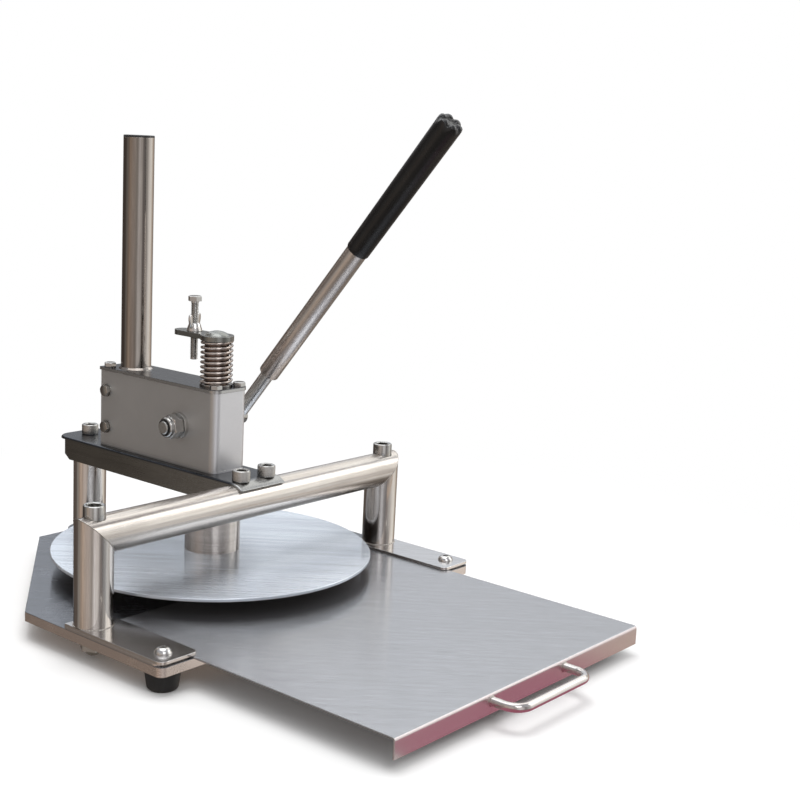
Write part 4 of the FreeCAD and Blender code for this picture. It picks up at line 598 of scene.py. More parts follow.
class Blank:
    """A piece in the making, turned or raised about its own Z axis in millimetres."""

    def __init__(self) -> None:
        """Starts with no metal."""
        self.mesh = bmesh.new()

    def turned(self, outline: Sequence[Span], steps: int) -> "Blank":
        """Spins an outline of radius and height once around the axis.

        Args:
            outline: The points, from one end of the axis to the other.
            steps: How many flats make the round.

        Returns:
            The blank.
        """
        points = [self.mesh.verts.new((radius, 0.0, height)) for radius, height in outline]
        edges = [self.mesh.edges.new(pair) for pair in zip(points, points[1:])]
        bmesh.ops.spin(self.mesh, geom=points + edges, cent=(0, 0, 0), axis=(0, 0, 1), angle=FULL_TURN,
                       steps=steps, use_merge=True, use_duplicate=False)
        bmesh.ops.remove_doubles(self.mesh, verts=self.mesh.verts, dist=SAME_POINT)
        return self

    def wound(self, wire: float, radius: float, stretches: Sequence[Span], steps: int = 24) -> "Blank":
        """Winds a round wire about the axis.

        Args:
            wire: The wire's width.
            radius: From the axis to the middle of the wire.
            stretches: The turns of each stretch, and how far it climbs.
            steps: How many straight runs make one turn.

        Returns:
            The blank.
        """
        place = at(radius, 0.0, 0.0) @ turned_about("X", 90.0)
        bmesh.ops.create_circle(self.mesh, cap_ends=False, segments=WIRE_SIDES, radius=wire / 2, matrix=place)
        ring = self.mesh.verts[:] + self.mesh.edges[:]
        for turns, climb in stretches:
            count = round(turns * steps)
            spun = bmesh.ops.spin(self.mesh, geom=ring, cent=(0, 0, 0), axis=(0, 0, 1),
                                  dvec=(0, 0, climb / count), angle=FULL_TURN * turns, steps=count)
            ring = spun["geom_last"]
        bmesh.ops.holes_fill(self.mesh, edges=self.mesh.edges)
        return self

    def shaped(self, change: Rule, chosen: Callable[[Vector], bool] = lambda point: True) -> "Blank":
        """Moves points by a rule.

        Args:
            change: Gives a point's new place.
            chosen: Says which points move; all of them if left out.

        Returns:
            The blank.
        """
        for point in self.mesh.verts:
            if chosen(point.co):
                point.co = change(point.co)
        return self

    def moved(self, *changes: Matrix) -> "Blank":
        """Applies transforms, the last one first, as in a product of matrices.

        Args:
            changes: The transforms.

        Returns:
            The blank.
        """
        total = Matrix.Identity(4)
        for change in changes:
            total = total @ change
        bmesh.ops.transform(self.mesh, matrix=total, verts=self.mesh.verts)
        return self

    def joined(self, other: "Blank") -> "Blank":
        """Adds a copy of another blank's metal.

        Args:
            other: The other blank.

        Returns:
            This blank.
        """
        spare = bpy.data.meshes.new("spare")
        other.mesh.to_mesh(spare)
        self.mesh.from_mesh(spare)
        bpy.data.meshes.remove(spare)
        return self

    def repeated(self, places: Sequence[Matrix]) -> "Blank":
        """Sets a copy of its metal at each place.

        Args:
            places: The places.

        Returns:
            A new blank that holds the copies.
        """
        made = Blank()
        for place in places:
            made.joined(Blank().joined(self).moved(place))
        return made

    def piece(
        self, name: str, body: str, slot: str, finish: bpy.types.Material, *nodes: str
    ) -> bpy.types.Object:
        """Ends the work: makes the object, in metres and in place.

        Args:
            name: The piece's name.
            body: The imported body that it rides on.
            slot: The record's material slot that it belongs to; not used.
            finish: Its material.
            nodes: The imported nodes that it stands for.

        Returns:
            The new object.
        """
        bmesh.ops.scale(self.mesh, vec=(MM, MM, MM), verts=self.mesh.verts)
        bmesh.ops.remove_doubles(self.mesh, verts=self.mesh.verts, dist=MERGE)
        bmesh.ops.recalc_face_normals(self.mesh, faces=self.mesh.faces)
        for face in self.mesh.faces:
            face.smooth = True
        for edge in self.mesh.edges:
            edge.smooth = len(edge.link_faces) == 2 and edge.calc_face_angle(0.0) < SHARP
        data = bpy.data.meshes.new(name)
        self.mesh.to_mesh(data)
        self.mesh.free()
        data.materials.append(finish)
        made = bpy.data.objects.new(name, data)
        bpy.context.scene.collection.objects.link(made)
        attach(made, body)
        if nodes:
            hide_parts(*nodes)
        LOG.info("piece %s on %s: %d faces", name, body, len(data.polygons))
        return made


def at(x: float, y: float, z: float) -> Matrix:
    """A shift, in millimetres."""
    return Matrix.Translation((x, y, z))


def turned_about(axis: str, degrees: float) -> Matrix:
    """A turn about an axis of the frame."""
    return Matrix.Rotation(math.radians(degrees), 4, axis)


def bead(run: float, radius: float, steps: int) -> Blank:
    """A round weld bead about the axis.

    Args:
        run: From the axis to the middle of the bead.
        radius: The bead's own radius.
        steps: How many flats make its run.

    Returns:
        The bead, on the XY plane.
    """
    angles = (FULL_TURN * number / BEAD_SIDES for number in range(BEAD_SIDES + 1))
    ring = [(run + radius * math.cos(angle), radius * math.sin(angle)) for angle in angles]
    return Blank().turned(ring, steps)


def reached(point: Vector, reach: float, height: float) -> Vector:
    """The point's direction from the axis, with another distance and height."""
    return Vector((point.x, point.y, 0.0)).normalized() * reach + Vector((0.0, 0.0, height))


def hexagon_reach(point: Vector, half_flats: float) -> float:
    """The distance from the axis to a hexagon's side in a point's direction.

    Args:
        point: The point.
        half_flats: Half of the distance across the flats.

    Returns:
        The distance.
    """
    sixth = FULL_TURN / 6
    angle = math.atan2(point.y, point.x) % sixth - sixth / 2
    return half_flats / math.cos(angle)


@dataclass(frozen=True)
class HexagonHead:
    """A hexagon head or nut with a turned, chamfered end.

    Attributes:
        flats: The distance across the flats.
        height: Its height.
        washer_face: The height of a round face under it, or 0.
    """

    flats: float
    height: float
    washer_face: float = 0.0

    STEPS = 72
    CHAMFER = math.tan(math.radians(30.0))
    FLAT_SHARE = 0.95

    def blank(self) -> Blank:
        """Builds it on the XY plane.

        Returns:
            The head.
        """
        half = self.flats / 2
        flat_end = half * self.FLAT_SHARE
        foot = self.washer_face
        face = [(flat_end, 0.0), (flat_end, foot)] if foot else []
        wall = [(half, foot), (half, self.height)]
        outline = [(0.0, 0.0), *face, *wall, (flat_end, self.height), (0.0, self.height)]

        def to_flats(point: Vector) -> Vector:
            """Moves a point of the round wall out to the hexagon and down its chamfer.

            Args:
                point: The point.

            Returns:
                Its new place.
            """
            reach = hexagon_reach(point, half)
            drop = (reach - flat_end) * self.CHAMFER
            return reached(point, reach, self.height - drop if point.z > self.height / 2 else point.z)

        made = Blank().turned(outline, self.STEPS)
        return made.shaped(to_flats, lambda point: abs(point.xy.length - half) < ON_WALL)


@dataclass(frozen=True)
class SocketHead:
    """A cylinder head with a knurled side and a hexagon socket.

    Attributes:
        radius: The head's radius.
        height: Its height.
        socket: The socket's distance across the flats.
        depth: The socket's depth.
        knurl: The depth of the knurling's grooves.
    """

    radius: float
    height: float
    socket: float
    depth: float
    knurl: float = 0.28

    STEPS = 96

    def blank(self) -> Blank:
        """Builds it on the XY plane.

        Returns:
            The head.
        """
        half, wall, top = self.socket / 2, self.radius, self.height
        outline = [
            (0.0, 0.0), (wall - 0.5, 0.0), (wall - 0.2, 0.5), (wall, 1.0), (wall, top - 1.2),
            (wall - 0.35, top - 0.45), (wall - 1.0, top), (half * 1.22, top), (half, top - 0.4),
            (half, top - self.depth), (0.0, top - self.depth - 1.0),
        ]
        made = Blank().turned(outline, self.STEPS)

        def groove(point: Vector) -> Vector:
            """Sinks every second line of the side's points.

            Args:
                point: The point.

            Returns:
                Its new place.
            """
            line = round(math.atan2(point.y, point.x) / FULL_TURN * self.STEPS)
            share = 1.0 - self.knurl / self.radius * (line % 2)
            return Vector((point.x * share, point.y * share, point.z))

        def to_flats(point: Vector) -> Vector:
            """Moves a point of the round socket out to its hexagon."""
            return reached(point, hexagon_reach(point, half), point.z)

        made.shaped(groove, lambda point: point.xy.length > wall - ON_WALL)
        return made.shaped(to_flats, lambda point: abs(point.xy.length - half) < ON_WALL)


@dataclass(frozen=True)
class ThreadedShank:
    """A threaded round shank that hangs down from the XY plane.

    Attributes:
        radius: The thread's outer radius.
        length: Its length.
        pitch: The thread's pitch.
        plain: How much of it under the head has no thread.
    """

    radius: float
    length: float
    pitch: float
    plain: float

    DEPTH = 0.61
    FLANKS = (0.12, 0.48, 0.64)
    POINT = 0.8

    def blank(self) -> Blank:
        """Builds it.

        Returns:
            The shank.
        """
        root = self.radius - self.DEPTH * self.pitch
        outline = [(0.0, 0.0), (self.radius, 0.0)]
        for number in range(int((self.length - self.POINT - self.plain) / self.pitch)):
            top = -self.plain - number * self.pitch
            crest, foot, next_foot = (top - share * self.pitch for share in self.FLANKS)
            outline += [(self.radius, top), (self.radius, crest), (root, foot), (root, next_foot)]
        outline += [(self.radius - 0.1, 0.6 - self.length), (self.radius - 0.7, -self.length)]
        return Blank().turned([*outline, (0.0, -self.length)], 40)


def bolts(head: HexagonHead | SocketHead, shank: ThreadedShank, places: Sequence[Matrix]) -> Blank:
    """The same bolt at each place, which is where its head is seated."""
    return head.blank().joined(shank.blank()).repeated(places)


@dataclass(frozen=True)
class Posts:
    """The two front posts.

    Attributes:
        x: How far their axes are from the middle.
        y: Where they stand from front to back.
        radius: Their tube's radius.
    """

    x: float = 176.0
    y: float = 39.0
    radius: float = 16.0

    def places(self, height: float) -> list[Matrix]:
        """The points of both axes at a height, the left one first."""
        return [at(side * self.x, self.y, height) for side in SIDES]

    def flush(self, point: Vector) -> Vector:
        """Brings a point in to the posts' outer sides, where seams are ground flush."""
        edge = self.x + self.radius
        return Vector((max(-edge, min(edge, point.x)), point.y, point.z))


@dataclass
class Base:
    """The base plate with its guide rails, feet and weld seams at the posts."""

    posts: Posts = Posts()
    rail_top: float = 28.5
    bead: float = 0.55
    ripples: int = 46
    rippling: float = 0.3

    def build(self, finishes: Finishes) -> None:
        """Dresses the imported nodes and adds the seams.

        Args:
            finishes: The materials.
        """
        finishes.dress("base_sheet", "base_plate")
        finishes.dress("rail_sheet", "guide_rail_left", "guide_rail_right", "guide_spacer_left",
                       "guide_spacer_right")
        finishes.dress("foot_rubber", "feet")
        finishes.dress("dull_fastener", "foot_nuts", "rear_foot_screws", "corner_nuts", "back_nut")
        finishes.dress("polished_screw", "rail_screws")
        seams = self.seam().repeated(self.posts.places(self.rail_top)).shaped(self.posts.flush)
        seams.piece("post_seams", "frame", "tube", finishes.made["weld_bead"])

    def seam(self) -> Blank:
        """One weld seam around a post's foot.

        Returns:
            The seam, about the origin.
        """

        def ripple(point: Vector) -> Vector:
            """Makes the bead swell and shrink along its run.

            Args:
                point: The point.

            Returns:
                Its new place.
            """
            swell = 1.0 + self.rippling * math.cos(self.ripples * math.atan2(point.y, point.x))
            radius = math.hypot(point.x, point.y)
            reach = self.posts.radius + (radius - self.posts.radius) * swell
            return Vector((point.x * reach / radius, point.y * reach / radius, point.z * swell))

        return bead(self.posts.radius, self.bead, self.ripples * 4).shaped(ripple)


@dataclass
class TubeFrame:
    """The posts, the cross tube, their mitre seams and the frame's bolts."""

    posts: Posts = Posts()
    cross_z: float = 101.5
    corner_seat: float = 115.0
    corner_head: SocketHead = SocketHead(9.0, 12.0, 10.0, 6.0)
    corner_shank: ThreadedShank = ThreadedShank(5.9, 108.0, 1.75, 82.0)
    link_head: SocketHead = SocketHead(8.0, 10.0, 8.0, 5.0)
    link_seat: float = 120.0
    back_y: float = 268.0
    back_shank: ThreadedShank = ThreadedShank(4.9, 113.0, 1.5, 90.0)
    saddle_x: float = 15.5
    saddle_shank: ThreadedShank = ThreadedShank(4.9, 26.0, 1.5, 4.0)
    mitre: float = 45.0
    bead: float = 0.35

    def build(self, finishes: Finishes) -> None:
        """Dresses the tubes and makes bolts and seams.

        Args:
            finishes: The materials.
        """
        finishes.dress("post_tube", "post_left", "post_right", "back_post")
        finishes.dress("cross_tube", "cross_tube")
        fastener = finishes.made["fastener"]
        corners = bolts(self.corner_head, self.corner_shank, self.posts.places(self.corner_seat))
        corners.piece("corner_bolts_knurled", "frame", "fastener", fastener, "corner_bolts")
        places = [at(side * self.saddle_x, self.posts.y, self.link_seat) for side in SIDES]
        saddles = bolts(self.link_head, self.saddle_shank, places)
        saddles.piece("saddle_bolts_knurled", "frame", "fastener", fastener, "saddle_bolts")
        back = bolts(self.link_head, self.back_shank, [at(0.0, self.back_y, self.link_seat)])
        back.piece("back_bolt_knurled", "frame", "fastener", fastener, "back_bolt")
        longer = Matrix.Diagonal((math.sqrt(2.0), 1.0, 1.0, 1.0))
        ends = zip(SIDES, self.posts.places(self.cross_z))
        mitres = [place @ turned_about("Y", -self.mitre * side) @ longer for side, place in ends]
        seams = bead(self.posts.radius, self.bead, 96).repeated(mitres).shaped(self.posts.flush)
        seams.piece("mitre_seams", "frame", "tube", finishes.made["weld_bead"])


@dataclass
class Housing:
    """The top channel, the gear housing on it and the tall tube."""

    lid_top: float = 195.5
    lid_bolt_x: float = 14.2
    lid_bolt_ys: tuple[float, float] = (75.0, 220.5)
    lid_head: HexagonHead = HexagonHead(10.0, 4.0, washer_face=0.3)
    lid_shank: ThreadedShank = ThreadedShank(2.9, 16.0, 1.0, 1.0)
    side_bolt_x: float = 21.2
    side_bolt_y: float = 217.0
    side_bolt_zs: tuple[float, float] = (139.0, 174.0)
    side_bolt_turn: float = 20.0
    side_head: HexagonHead = HexagonHead(10.0, 4.0, washer_face=0.35)
    side_shank: ThreadedShank = ThreadedShank(2.9, 14.0, 1.0, 1.0)

    def build(self, finishes: Finishes) -> None:
        """Dresses the sheets and makes the bolts.

        Args:
            finishes: The materials.
        """
        finishes.dress("dark_channel", "top_channel")
        finishes.dress("satin_housing", "housing_cover", "housing_floor", "housing_rear_plate")
        finishes.dress("blue_lid", "housing_lid")
        finishes.dress("block_steel", "ram_block", "rear_block")
        finishes.dress("bush_bronze", "lower_bush", "shaft_bush_left", "shaft_bush_right")
        finishes.dress("seat_steel", "upper_bush")
        finishes.dress("tall_tube", "grip_tube")
        finishes.dress("dark_plastic", "grip_tube_cap")
        finishes.dress("fastener", "side_washers", "housing_bolts", "rear_plate_screws")
        places = [at(side * self.lid_bolt_x, y, self.lid_top) for side in SIDES for y in self.lid_bolt_ys]
        lid = bolts(self.lid_head, self.lid_shank, places)
        lid.piece("lid_bolts_chamfered", "frame", "fastener", finishes.made["fastener"], "lid_bolts")
        places = [
            at(side * self.side_bolt_x, self.side_bolt_y, z)
            @ turned_about("Y", 90.0 * side) @ turned_about("Z", self.side_bolt_turn)
            for side in SIDES for z in self.side_bolt_zs
        ]
        sides = bolts(self.side_head, self.side_shank, places)
        sides.piece("side_bolts_chamfered", "frame", "fastener", finishes.made["dull_fastener"], "side_bolts")


@dataclass
class PressHead:
    """The ram, its hub, the press plate and the return spring, wound at one fixed length."""

    axis_y: float = 90.0
    seat: float = 197.5
    spring_length: float = 39.0
    spring_radius: float = 14.7
    wire: float = 2.2
    turns: float = 9.0
    ground: float = 0.4
    stroke: float = 16.0

    def build(self, finishes: Finishes) -> None:
        """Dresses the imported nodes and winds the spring.

        Args:
            finishes: The materials.
        """
        finishes.dress("press_sheet", "press_plate")
        finishes.dress("hub_steel", "hub")
        finishes.dress("ram_steel", "ram", "ram_collar")
        finishes.dress("fastener", "hub_grub_screw", "plate_screw")
        finishes.dress("cap_steel", "cap_plate")
        coil = self.coil().moved(at(0.0, self.axis_y, self.seat))
        spring = coil.piece("spring_coil", "frame", "spring_wire", finishes.made["spring_wire"], "spring")
        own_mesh(spring)

    def coil(self) -> Blank:
        """The spring: flat first and last quarter turns, even pitch between, and both ends ground off.

        Returns:
            The spring, on the XY plane.
        """
        low = self.wire / 2 - self.ground
        stretches = ((0.25, 0.0), (self.turns - 0.5, self.spring_length - 2 * low), (0.25, 0.0))
        made = Blank().wound(self.wire, self.spring_radius - self.wire / 2, stretches)
        made.moved(at(0.0, 0.0, low))
        return made.shaped(lambda point: Vector((*point.xy, min(self.spring_length, max(0.0, point.z)))))


@dataclass
class DepthStop:
    """The stop bolt and its wing nut on the cap plate's arm."""

    y: float = 120.0
    head_seat: float = 268.2
    head: HexagonHead = HexagonHead(11.0, 4.6)
    shank: ThreadedShank = ThreadedShank(3.5, 53.0, 1.0, 1.5)
    nut_seat: float = 241.0
    nut_turn: float = 21.0
    nut_play: float = 0.15
    hub_radius: float = 7.0
    hub_height: float = 7.6
    wing_root: float = 4.4
    wing_sunk: float = 1.4
    wing_span: float = 12.4
    wing_height: float = 15.8
    wing_half: float = 0.42
    wing_middle: float = 0.58
    wing_sheet: float = 2.2
    wing_lean: float = 12.0
    wing_taper: float = 0.20
    wing_edge: float = 0.7

    def build(self, finishes: Finishes) -> None:
        """Makes bolt and nut.

        Args:
            finishes: The materials.
        """
        bolt = bolts(self.head, self.shank, [at(0.0, self.y, self.head_seat)])
        bolt.piece("stop_bolt_threaded", "stop", "fastener", finishes.made["fastener"], "stop_bolt")
        nut = self.wing_nut().moved(at(0.0, self.y, self.nut_seat), turned_about("Z", self.nut_turn))
        nut.piece("wing_nut_cast", "wing", "fastener", finishes.made["polished_screw"], "wing_nut")

    def wing_nut(self) -> Blank:
        """The cast nut: a conical hub with two rounded wings.

        Returns:
            The nut, about the origin.
        """
        bore = self.shank.radius + self.nut_play
        hub = [
            (bore, 0.0), (self.hub_radius - 0.3, 0.0), (self.hub_radius, 0.4), (self.hub_radius - 0.3, 2.0),
            (self.hub_radius - 1.9, self.hub_height - 0.8), (self.hub_radius - 2.5, self.hub_height),
            (bore, self.hub_height), (bore, 0.0),
        ]
        made = Blank().turned(hub, 48)
        for side in SIDES:
            made.joined(self.wing(side))
        return made

    def wing(self, side: int) -> Blank:
        """One wing, a rounded paddle that leans outwards.

        Args:
            side: Which way it points along X.

        Returns:
            The wing.
        """
        made = Blank()
        reach = self.wing_span - self.wing_root
        disc = bmesh.ops.create_circle(made.mesh, cap_ends=True, segments=28, radius=1.0)["verts"]
        for point in disc:
            swell = 1.0 - self.wing_taper * (1.0 - point.co.y)
            high = point.co.y * self.wing_height * self.wing_half
            point.co = Vector((point.co.x * reach / 2 * swell, high, 0.0))
        raised = bmesh.ops.extrude_face_region(made.mesh, geom=made.mesh.faces[:])
        lifted = [part for part in raised["geom"] if isinstance(part, bmesh.types.BMVert)]
        bmesh.ops.translate(made.mesh, vec=(0.0, 0.0, self.wing_sheet), verts=lifted)
        bmesh.ops.translate(made.mesh, vec=(0.0, 0.0, -self.wing_sheet / 2), verts=made.mesh.verts)
        rims = [edge for edge in made.mesh.edges if edge.calc_face_angle(0.0) > SHARP]
        bmesh.ops.bevel(made.mesh, geom=rims, affect="EDGES", offset=self.wing_edge, segments=3, profile=0.5,
                        material=-1)
        out = side * (self.wing_root + reach / 2 - self.wing_sunk)
        middle = at(out, 0.0, self.wing_height * self.wing_middle)
        return made.moved(middle, turned_about("Y", self.wing_lean * side), turned_about("X", 90.0))


@dataclass
class Lever:
    """The pinion's shaft with its lock nut, and the lever with its grip."""

    pivot_y: float = 115.0
    pivot_z: float = 157.5
    lever_x: float = 53.0
    lean: float = 40.0
    nut_x: float = -23.5
    nut_turn: float = 12.0
    nut_flats: float = 19.0
    grip_start: float = 217.0
    grip_end: float = 363.0
    grip_low: float = 10.5
    grip_high: float = 11.4
    grip_rim: float = 1.2
    crown_length: float = 10.0
    lobes: int = 6
    lobe_depth: float = 1.5
    lobe_length: float = 7.0
    lobe_core: float = 3.0
    lobe_face: float = 2.0
    lobe_fall: float = 0.9

    COLLAR = ((6.0, 8.0), (9.2, 8.0), (9.2, 12.0), (8.9, 13.4), (8.2, 14.3), (7.7, 14.5), (7.7, 12.0),
              (6.0, 12.0), (6.0, 8.0))
    RING = ((6.05, 11.9), (7.6, 11.9), (7.7, 14.0), (7.3, 14.25), (6.3, 14.25), (6.05, 14.0), (6.05, 11.9))
    CROWN = ((0.0, -6.0), (0.1, -3.5), (0.6, -1.6), (1.9, -0.5), (3.6, 0.0), (5.6, -0.4), (6.6, -1.6))

    def build(self, finishes: Finishes) -> None:
        """Dresses the shaft and lever, and makes the nut and the grip.

        Args:
            finishes: The materials.
        """
        finishes.dress("shaft_steel", "pinion_shaft", "shaft_washer", "shaft_collar", "pinion", "pinion_key")
        finishes.dress("lever_rod_steel", "lever_rod", "lever_nut")
        finishes.dress("lever_tube_steel", "lever_tube")
        facing_left = at(self.nut_x, self.pivot_y, self.pivot_z) @ turned_about("Y", -90.0)
        nut = self.lock_nut().moved(facing_left, turned_about("Z", self.nut_turn))
        nut.piece("lock_nut_collared", "lever", "fastener", finishes.made["fastener"], "lock_nut")
        insert = Blank().turned(self.RING, 48).moved(facing_left)
        insert.piece("lock_nut_ring", "lever", "plastic", finishes.made["dark_plastic"])
        grip = self.grip().moved(at(self.lever_x, self.pivot_y, self.pivot_z), turned_about("X", self.lean))
        grip.piece("grip_sleeve", "lever", "rubber", finishes.made["grip_rubber"], "lever_grip")

    def lock_nut(self) -> Blank:
        """The self-locking nut on the XY plane: a chamfered hexagon with a turned collar."""
        hexagon = HexagonHead(self.nut_flats, 10.0, washer_face=0.5).blank()
        return hexagon.joined(Blank().turned(self.COLLAR, 56))

    def grip(self, stations: int = 24) -> Blank:
        """The moulded sleeve with a lobed crown at its end.

        Args:
            stations: How many rings its long side has.

        Returns:
            The grip, along Z from the lever's pivot.
        """
        start, end, low = self.grip_start, self.grip_end, self.grip_low
        base = end - self.lobe_length
        slope = (self.grip_high - low) / (end - start)
        run = end - start - self.crown_length
        outline = [(0.0, start), (low - 1.0, start), (low - 0.3, start + 0.4), (low, start + self.grip_rim)]
        for number in range(1, stations + 1):
            way = run * number / stations
            outline.append((low + slope * way, start + self.grip_rim + way))
        outline += [(self.grip_high - inward, end + upward) for inward, upward in self.CROWN]
        outline += [(2.4, end - 2.2), (0.0, end - 2.3)]

        def crown(point: Vector) -> Vector:
            """Sinks the gaps between the lobes, deeper towards the end.

            Args:
                point: The point.

            Returns:
                Its new place.
            """
            wave = 0.5 - 0.5 * math.cos(self.lobes * math.atan2(point.y, point.x))
            rise = min(1.0, (point.z - base) / self.lobe_length)
            depth = self.lobe_depth * wave ** 2 * rise
            share = 1.0 - depth / math.hypot(point.x, point.y)
            fall = depth * self.lobe_fall * (point.z > end - self.lobe_face)
            return Vector((point.x * share, point.y * share, point.z - fall))

        made = Blank().turned(outline, 96)
        return made.shaped(crown, lambda point: point.z > base and point.xy.length > self.lobe_core)


@dataclass
class Tray:
    """The sliding tray with its bar handle."""

    leg_x: float = 48.5
    flange_y: float = -261.0
    bar_z: float = 19.5
    bar_radius: float = 3.6
    bead: float = 0.8

    def build(self, finishes: Finishes) -> None:
        """Dresses tray and handle and adds the handle's weld seams.

        Args:
            finishes: The materials.
        """
        finishes.dress("tray_sheet", "tray")
        finishes.dress("handle_bar", "tray_handle")
        facing = turned_about("X", 90.0)
        places = [at(side * self.leg_x, self.flange_y, self.bar_z) @ facing for side in SIDES]
        seams = bead(self.bar_radius, self.bead, 40).repeated(places)
        seams.piece("handle_seams", "tray", "sheet", finishes.made["weld_bead"])


@dataclass
class Camera:
    """The photograph's view.

    Attributes:
        azimuth: Degrees from the front, positive to the object's right.
        elevation: Degrees above the horizon.
        roll: Degrees that the picture is turned.
        focal: The focal length in pixels of an 800 pixel wide picture.
        centre: The pixel column of the optical axis.
        place: The camera's place.
    """

    azimuth: float = -49.48
    elevation: float = 10.85
    roll: float = 2.56
    focal: float = 1385.54
    centre: float = 360.0
    place: tuple[float, float, float] = (-842.49, -800.06, 421.62)

    PICTURE = 800.0
    SENSOR = 36.0
    CLIP_START = 0.01

    def build(self) -> None:
        """Adds the camera and makes it the scene's."""
        a, e, r = (math.radians(angle) for angle in (self.azimuth, self.elevation, self.roll))
        back = Vector((math.sin(a) * math.cos(e), -math.cos(a) * math.cos(e), math.sin(e)))
        level = Vector((math.cos(a), math.sin(a), 0.0))
        upright = back.cross(level)
        right = math.cos(r) * level + math.sin(r) * upright
        up = -math.sin(r) * level + math.cos(r) * upright
        data = bpy.data.cameras.new("photo_view")
        data.sensor_width = self.SENSOR
        data.lens = self.focal * self.SENSOR / self.PICTURE
        data.shift_x = (self.PICTURE / 2 - self.centre) / self.PICTURE
        data.clip_start = self.CLIP_START
        camera = bpy.data.objects.new("photo_view", data)
        turn = Matrix((right, up, back)).transposed().to_4x4()
        camera.matrix_world = Matrix.Translation(Vector(self.place) * MM) @ turn
        bpy.context.scene.collection.objects.link(camera)
        bpy.context.scene.camera = camera


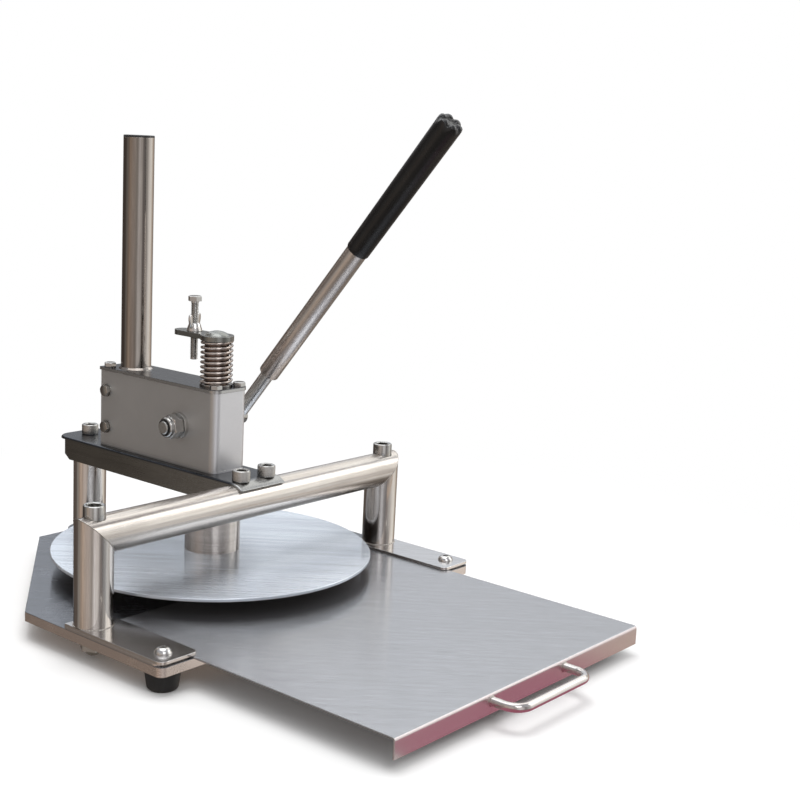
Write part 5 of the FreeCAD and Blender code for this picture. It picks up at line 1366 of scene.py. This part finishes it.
@dataclass
class Studio:
    """A pale floor under soft light, with quiet surroundings for the metal to reflect.

    A span is where a change begins and ends: in metres on the floor, and for the surroundings as a part of a
    ray's direction, whose length is 1.

    Attributes:
        floor_radius: The floor's radius in metres.
        paper: The floor's colour.
        fade: How far from the middle the floor fades to white.
        cloth_near: The span along Y where the metal's reflections begin to see a tablecloth.
        cloth_far: The span along Y where it ends.
        cloth_side: The span along X where it begins at the left.
        cloth_blend: The span along X where the left colour turns into the right one.
        cloth_left: The cloth's colour at the left.
        cloth_right: Its colour at the right.
        ambient: The brightness of the light from all around.
        aim: What the lamps are turned to, in metres.
        lamps: Each lamp's place, width in metres and power in watts.
        overhead: Lamps from this height up light the press without showing in its metal.
        horizon: The colour at each side, by its share of a full turn from the rear left.
        sinking: The span along Z where that turns into the colour straight below.
        depth: The colour straight below.
        window: The side, as a share of a turn, where the sky comes down lowest.
        frame_at: How far beside the window, as a share of a turn, the sky gives way.
        frame_share: How much of the sky is left there.
        sky_at: The span along Z where the sky begins.
        sky: Its colour.
        ceiling_at: The span along Z where the ceiling begins.
        ceiling_beside: How far beside the window, as a share of a turn, it begins.
        ceiling: Its colour.
        panels: The light panels, in front and at the rear, each by its spans along Y and Z.
        panel_at: The span along X where both begin.
        panel: Their colour.
    """

    floor_radius: float = 8.0
    paper: Colour = (0.93, 0.93, 0.93)
    fade: Span = (0.24, 0.70)
    cloth_near: Span = (-0.255, -0.263)
    cloth_far: Span = (-0.31, -0.33)
    cloth_side: Span = (-0.14, -0.13)
    cloth_blend: Span = (0.04, 0.19)
    cloth_left: Colour = (0.42, 0.15, 0.21)
    cloth_right: Colour = (0.60, 0.50, 0.42)
    ambient: float = 0.55
    aim: tuple[float, float, float] = (0.0, 0.05, 0.1)
    lamps: tuple[tuple[tuple[float, float, float], float, float], ...] = (
        ((-0.9, -1.7, 1.9), 1.1, 10.0),
        ((1.7, -0.9, 1.5), 1.0, 6.0),
        ((0.4, 1.8, 1.8), 1.2, 6.0),
        ((0.05, 0.1, 2.4), 1.2, 14.0),
        ((0.0, 0.25, 2.1), 1.6, 14.0),
    )
    overhead: float = 2.2
    horizon: tuple[tuple[float, Colour], ...] = (
        (0.000, (0.54, 0.46, 0.41)),
        (0.055, (0.62, 0.56, 0.53)),
        (0.112, (0.42, 0.39, 0.37)),
        (0.160, (0.93, 0.91, 0.93)),
        (0.195, (0.82, 0.80, 0.80)),
        (0.255, (0.27, 0.25, 0.25)),
        (0.320, (0.55, 0.54, 0.53)),
        (0.385, (1.00, 0.99, 0.97)),
        (0.440, (1.00, 0.98, 0.93)),
        (0.495, (0.52, 0.45, 0.39)),
        (0.560, (0.26, 0.22, 0.195)),
        (0.640, (0.12, 0.10, 0.085)),
        (0.760, (0.11, 0.09, 0.08)),
        (0.840, (0.13, 0.11, 0.10)),
        (0.890, (0.31, 0.29, 0.27)),
        (0.930, (0.40, 0.33, 0.28)),
        (0.962, (0.60, 0.49, 0.41)),
        (1.000, (0.54, 0.46, 0.41)),
    )
    sinking: Span = (-0.27, -0.60)
    depth: Colour = (0.20, 0.175, 0.155)
    window: float = 0.60
    frame_at: Span = (0.06, 0.13)
    frame_share: float = 0.08
    sky_at: Span = (0.13, 0.29)
    sky: Colour = (0.86, 0.90, 0.96)
    ceiling_at: Span = (0.45, 0.65)
    ceiling_beside: Span = (0.05, 0.10)
    ceiling: Colour = (0.50, 0.51, 0.54)
    panels: tuple[tuple[Span, Span], ...] = (((-0.24, -0.32), (0.06, 0.16)), ((-0.09, 0.0), (0.44, 0.50)))
    panel_at: Span = (0.45, 0.60)
    panel: Colour = (1.50, 1.50, 1.46)

    WHITE = (1.0, 1.0, 1.0)

    def build(self) -> None:
        """Builds floor, surroundings and lamps."""
        scene = bpy.context.scene
        scene.view_settings.view_transform = "Standard"
        self.floor()
        self.surroundings(scene)
        for number, (place, width, power) in enumerate(self.lamps):
            data = bpy.data.lights.new(f"softbox_{number}", "AREA")
            data.size = width
            data.energy = power
            lamp = bpy.data.objects.new(f"softbox_{number}", data)
            lamp.visible_glossy = place[2] < self.overhead
            aim = Vector(self.aim) - Vector(place)
            lamp.matrix_world = Matrix.Translation(place) @ aim.to_track_quat("-Z", "Y").to_matrix().to_4x4()
            scene.collection.objects.link(lamp)

    def floor(self) -> None:
        """A round pale floor that keeps the shadow and fades to white further out."""
        mesh = bmesh.new()
        bmesh.ops.create_circle(mesh, cap_ends=True, segments=96, radius=self.floor_radius)
        data = bpy.data.meshes.new("floor")
        mesh.to_mesh(data)
        mesh.free()
        made, wiring = Wiring.material("floor")
        place = wiring.node("TexCoord").outputs["Object"]
        x, y, _ = wiring.node("SeparateXYZ", {0: place}).outputs
        ray = wiring.node("LightPath").outputs
        distance = wiring.node("VectorMath", {0: place}, operation="LENGTH").outputs["Value"]
        white = wiring.times(wiring.ranged(distance, *self.fade), ray["Is Camera Ray"])
        matt = wiring.node("BsdfDiffuse", {"Color": self.paper}).outputs[0]
        pale = wiring.blended(white, matt, wiring.glow(self.WHITE))
        clear = wiring.node("BsdfTransparent").outputs[0]
        near, far = wiring.ranged(y, *self.cloth_near), wiring.ranged(y, *self.cloth_far, 1.0, 0.0)
        spread = wiring.times(wiring.times(near, far), wiring.ranged(x, *self.cloth_side))
        tone = wiring.mixed(wiring.ranged(x, *self.cloth_blend), self.cloth_left, self.cloth_right)
        mirrored = wiring.blended(spread, clear, wiring.glow(tone))
        whole = wiring.blended(ray["Is Glossy Ray"], pale, mirrored)
        wiring.node("OutputMaterial", {"Surface": whole})
        data.materials.append(made)
        floor = bpy.data.objects.new("floor", data)
        bpy.context.scene.collection.objects.link(floor)

    def surroundings(self, scene: bpy.types.Scene) -> None:
        """White behind the object, plain light from all around, and a soft room in the reflections.

        Args:
            scene: The scene that gets them.
        """
        world = bpy.data.worlds.new("surroundings")
        world.use_nodes = True
        scene.world = world
        wiring = Wiring(world.node_tree)
        x, y, z = wiring.node("SeparateXYZ", {0: wiring.node("TexCoord").outputs["Generated"]}).outputs
        turn = {"Value": wiring.sum("ARCTAN2", y, x), "From Min": -math.pi, "From Max": math.pi}
        share = wiring.node("MapRange", turn).outputs[0]
        room = wiring.mixed(wiring.ranged(z, *self.sinking), self.walls(wiring, share), self.depth)
        aside = wiring.sum("ABSOLUTE", wiring.sum("SUBTRACT", share, self.window))
        opening = wiring.ranged(aside, *self.frame_at, 1.0, self.frame_share)
        room = wiring.mixed(wiring.times(wiring.ranged(z, *self.sky_at), opening), room, self.sky)
        above = wiring.times(wiring.ranged(z, *self.ceiling_at), wiring.ranged(aside, *self.ceiling_beside))
        room = wiring.mixed(above, room, self.ceiling)
        front, rear = (
            wiring.times(wiring.ranged(y, *along), wiring.ranged(z, *up)) for along, up in self.panels
        )
        lit = wiring.times(wiring.sum("ADD", front, rear), wiring.ranged(x, *self.panel_at))
        room = wiring.mixed(lit, room, self.panel)
        ray = wiring.node("LightPath").outputs
        shown = wiring.mixed(ray["Is Diffuse Ray"], room, (self.ambient,) * 3)
        shown = wiring.mixed(ray["Is Camera Ray"], shown, self.WHITE)
        back = wiring.node("Background", {"Color": shown, "Strength": 1.0})
        wiring.node("OutputWorld", {"Surface": back.outputs[0]})

    def walls(self, wiring: Wiring, share: Socket) -> Socket:
        """Wires the horizon's colours.

        Args:
            wiring: The world's wiring.
            share: The side, as a share of a turn.

        Returns:
            The colour's socket.
        """
        ramp = wiring.node("ValToRGB", {"Fac": share})
        stops = ramp.color_ramp
        stops.interpolation = "EASE"
        stops.elements[0].color = (*self.horizon[0][1], 1.0)
        stops.elements[-1].color = (*self.horizon[-1][1], 1.0)
        for position, colour in self.horizon[1:-1]:
            stops.elements.new(position).color = (*colour, 1.0)
        return ramp.outputs["Color"]


def main() -> None:
    """Builds the stage, then every sub-assembly in order."""
    logging.basicConfig(level=logging.INFO, format="%(name)s: %(message)s")
    Camera().build()
    Studio().build()
    finishes = Finishes()
    for part in (Base(), TubeFrame(), Housing(), PressHead(), DepthStop(), Lever(), Tray()):
        part.build(finishes)
        LOG.info("built %s", type(part).__name__)


if __name__ == "__main__":
    main()
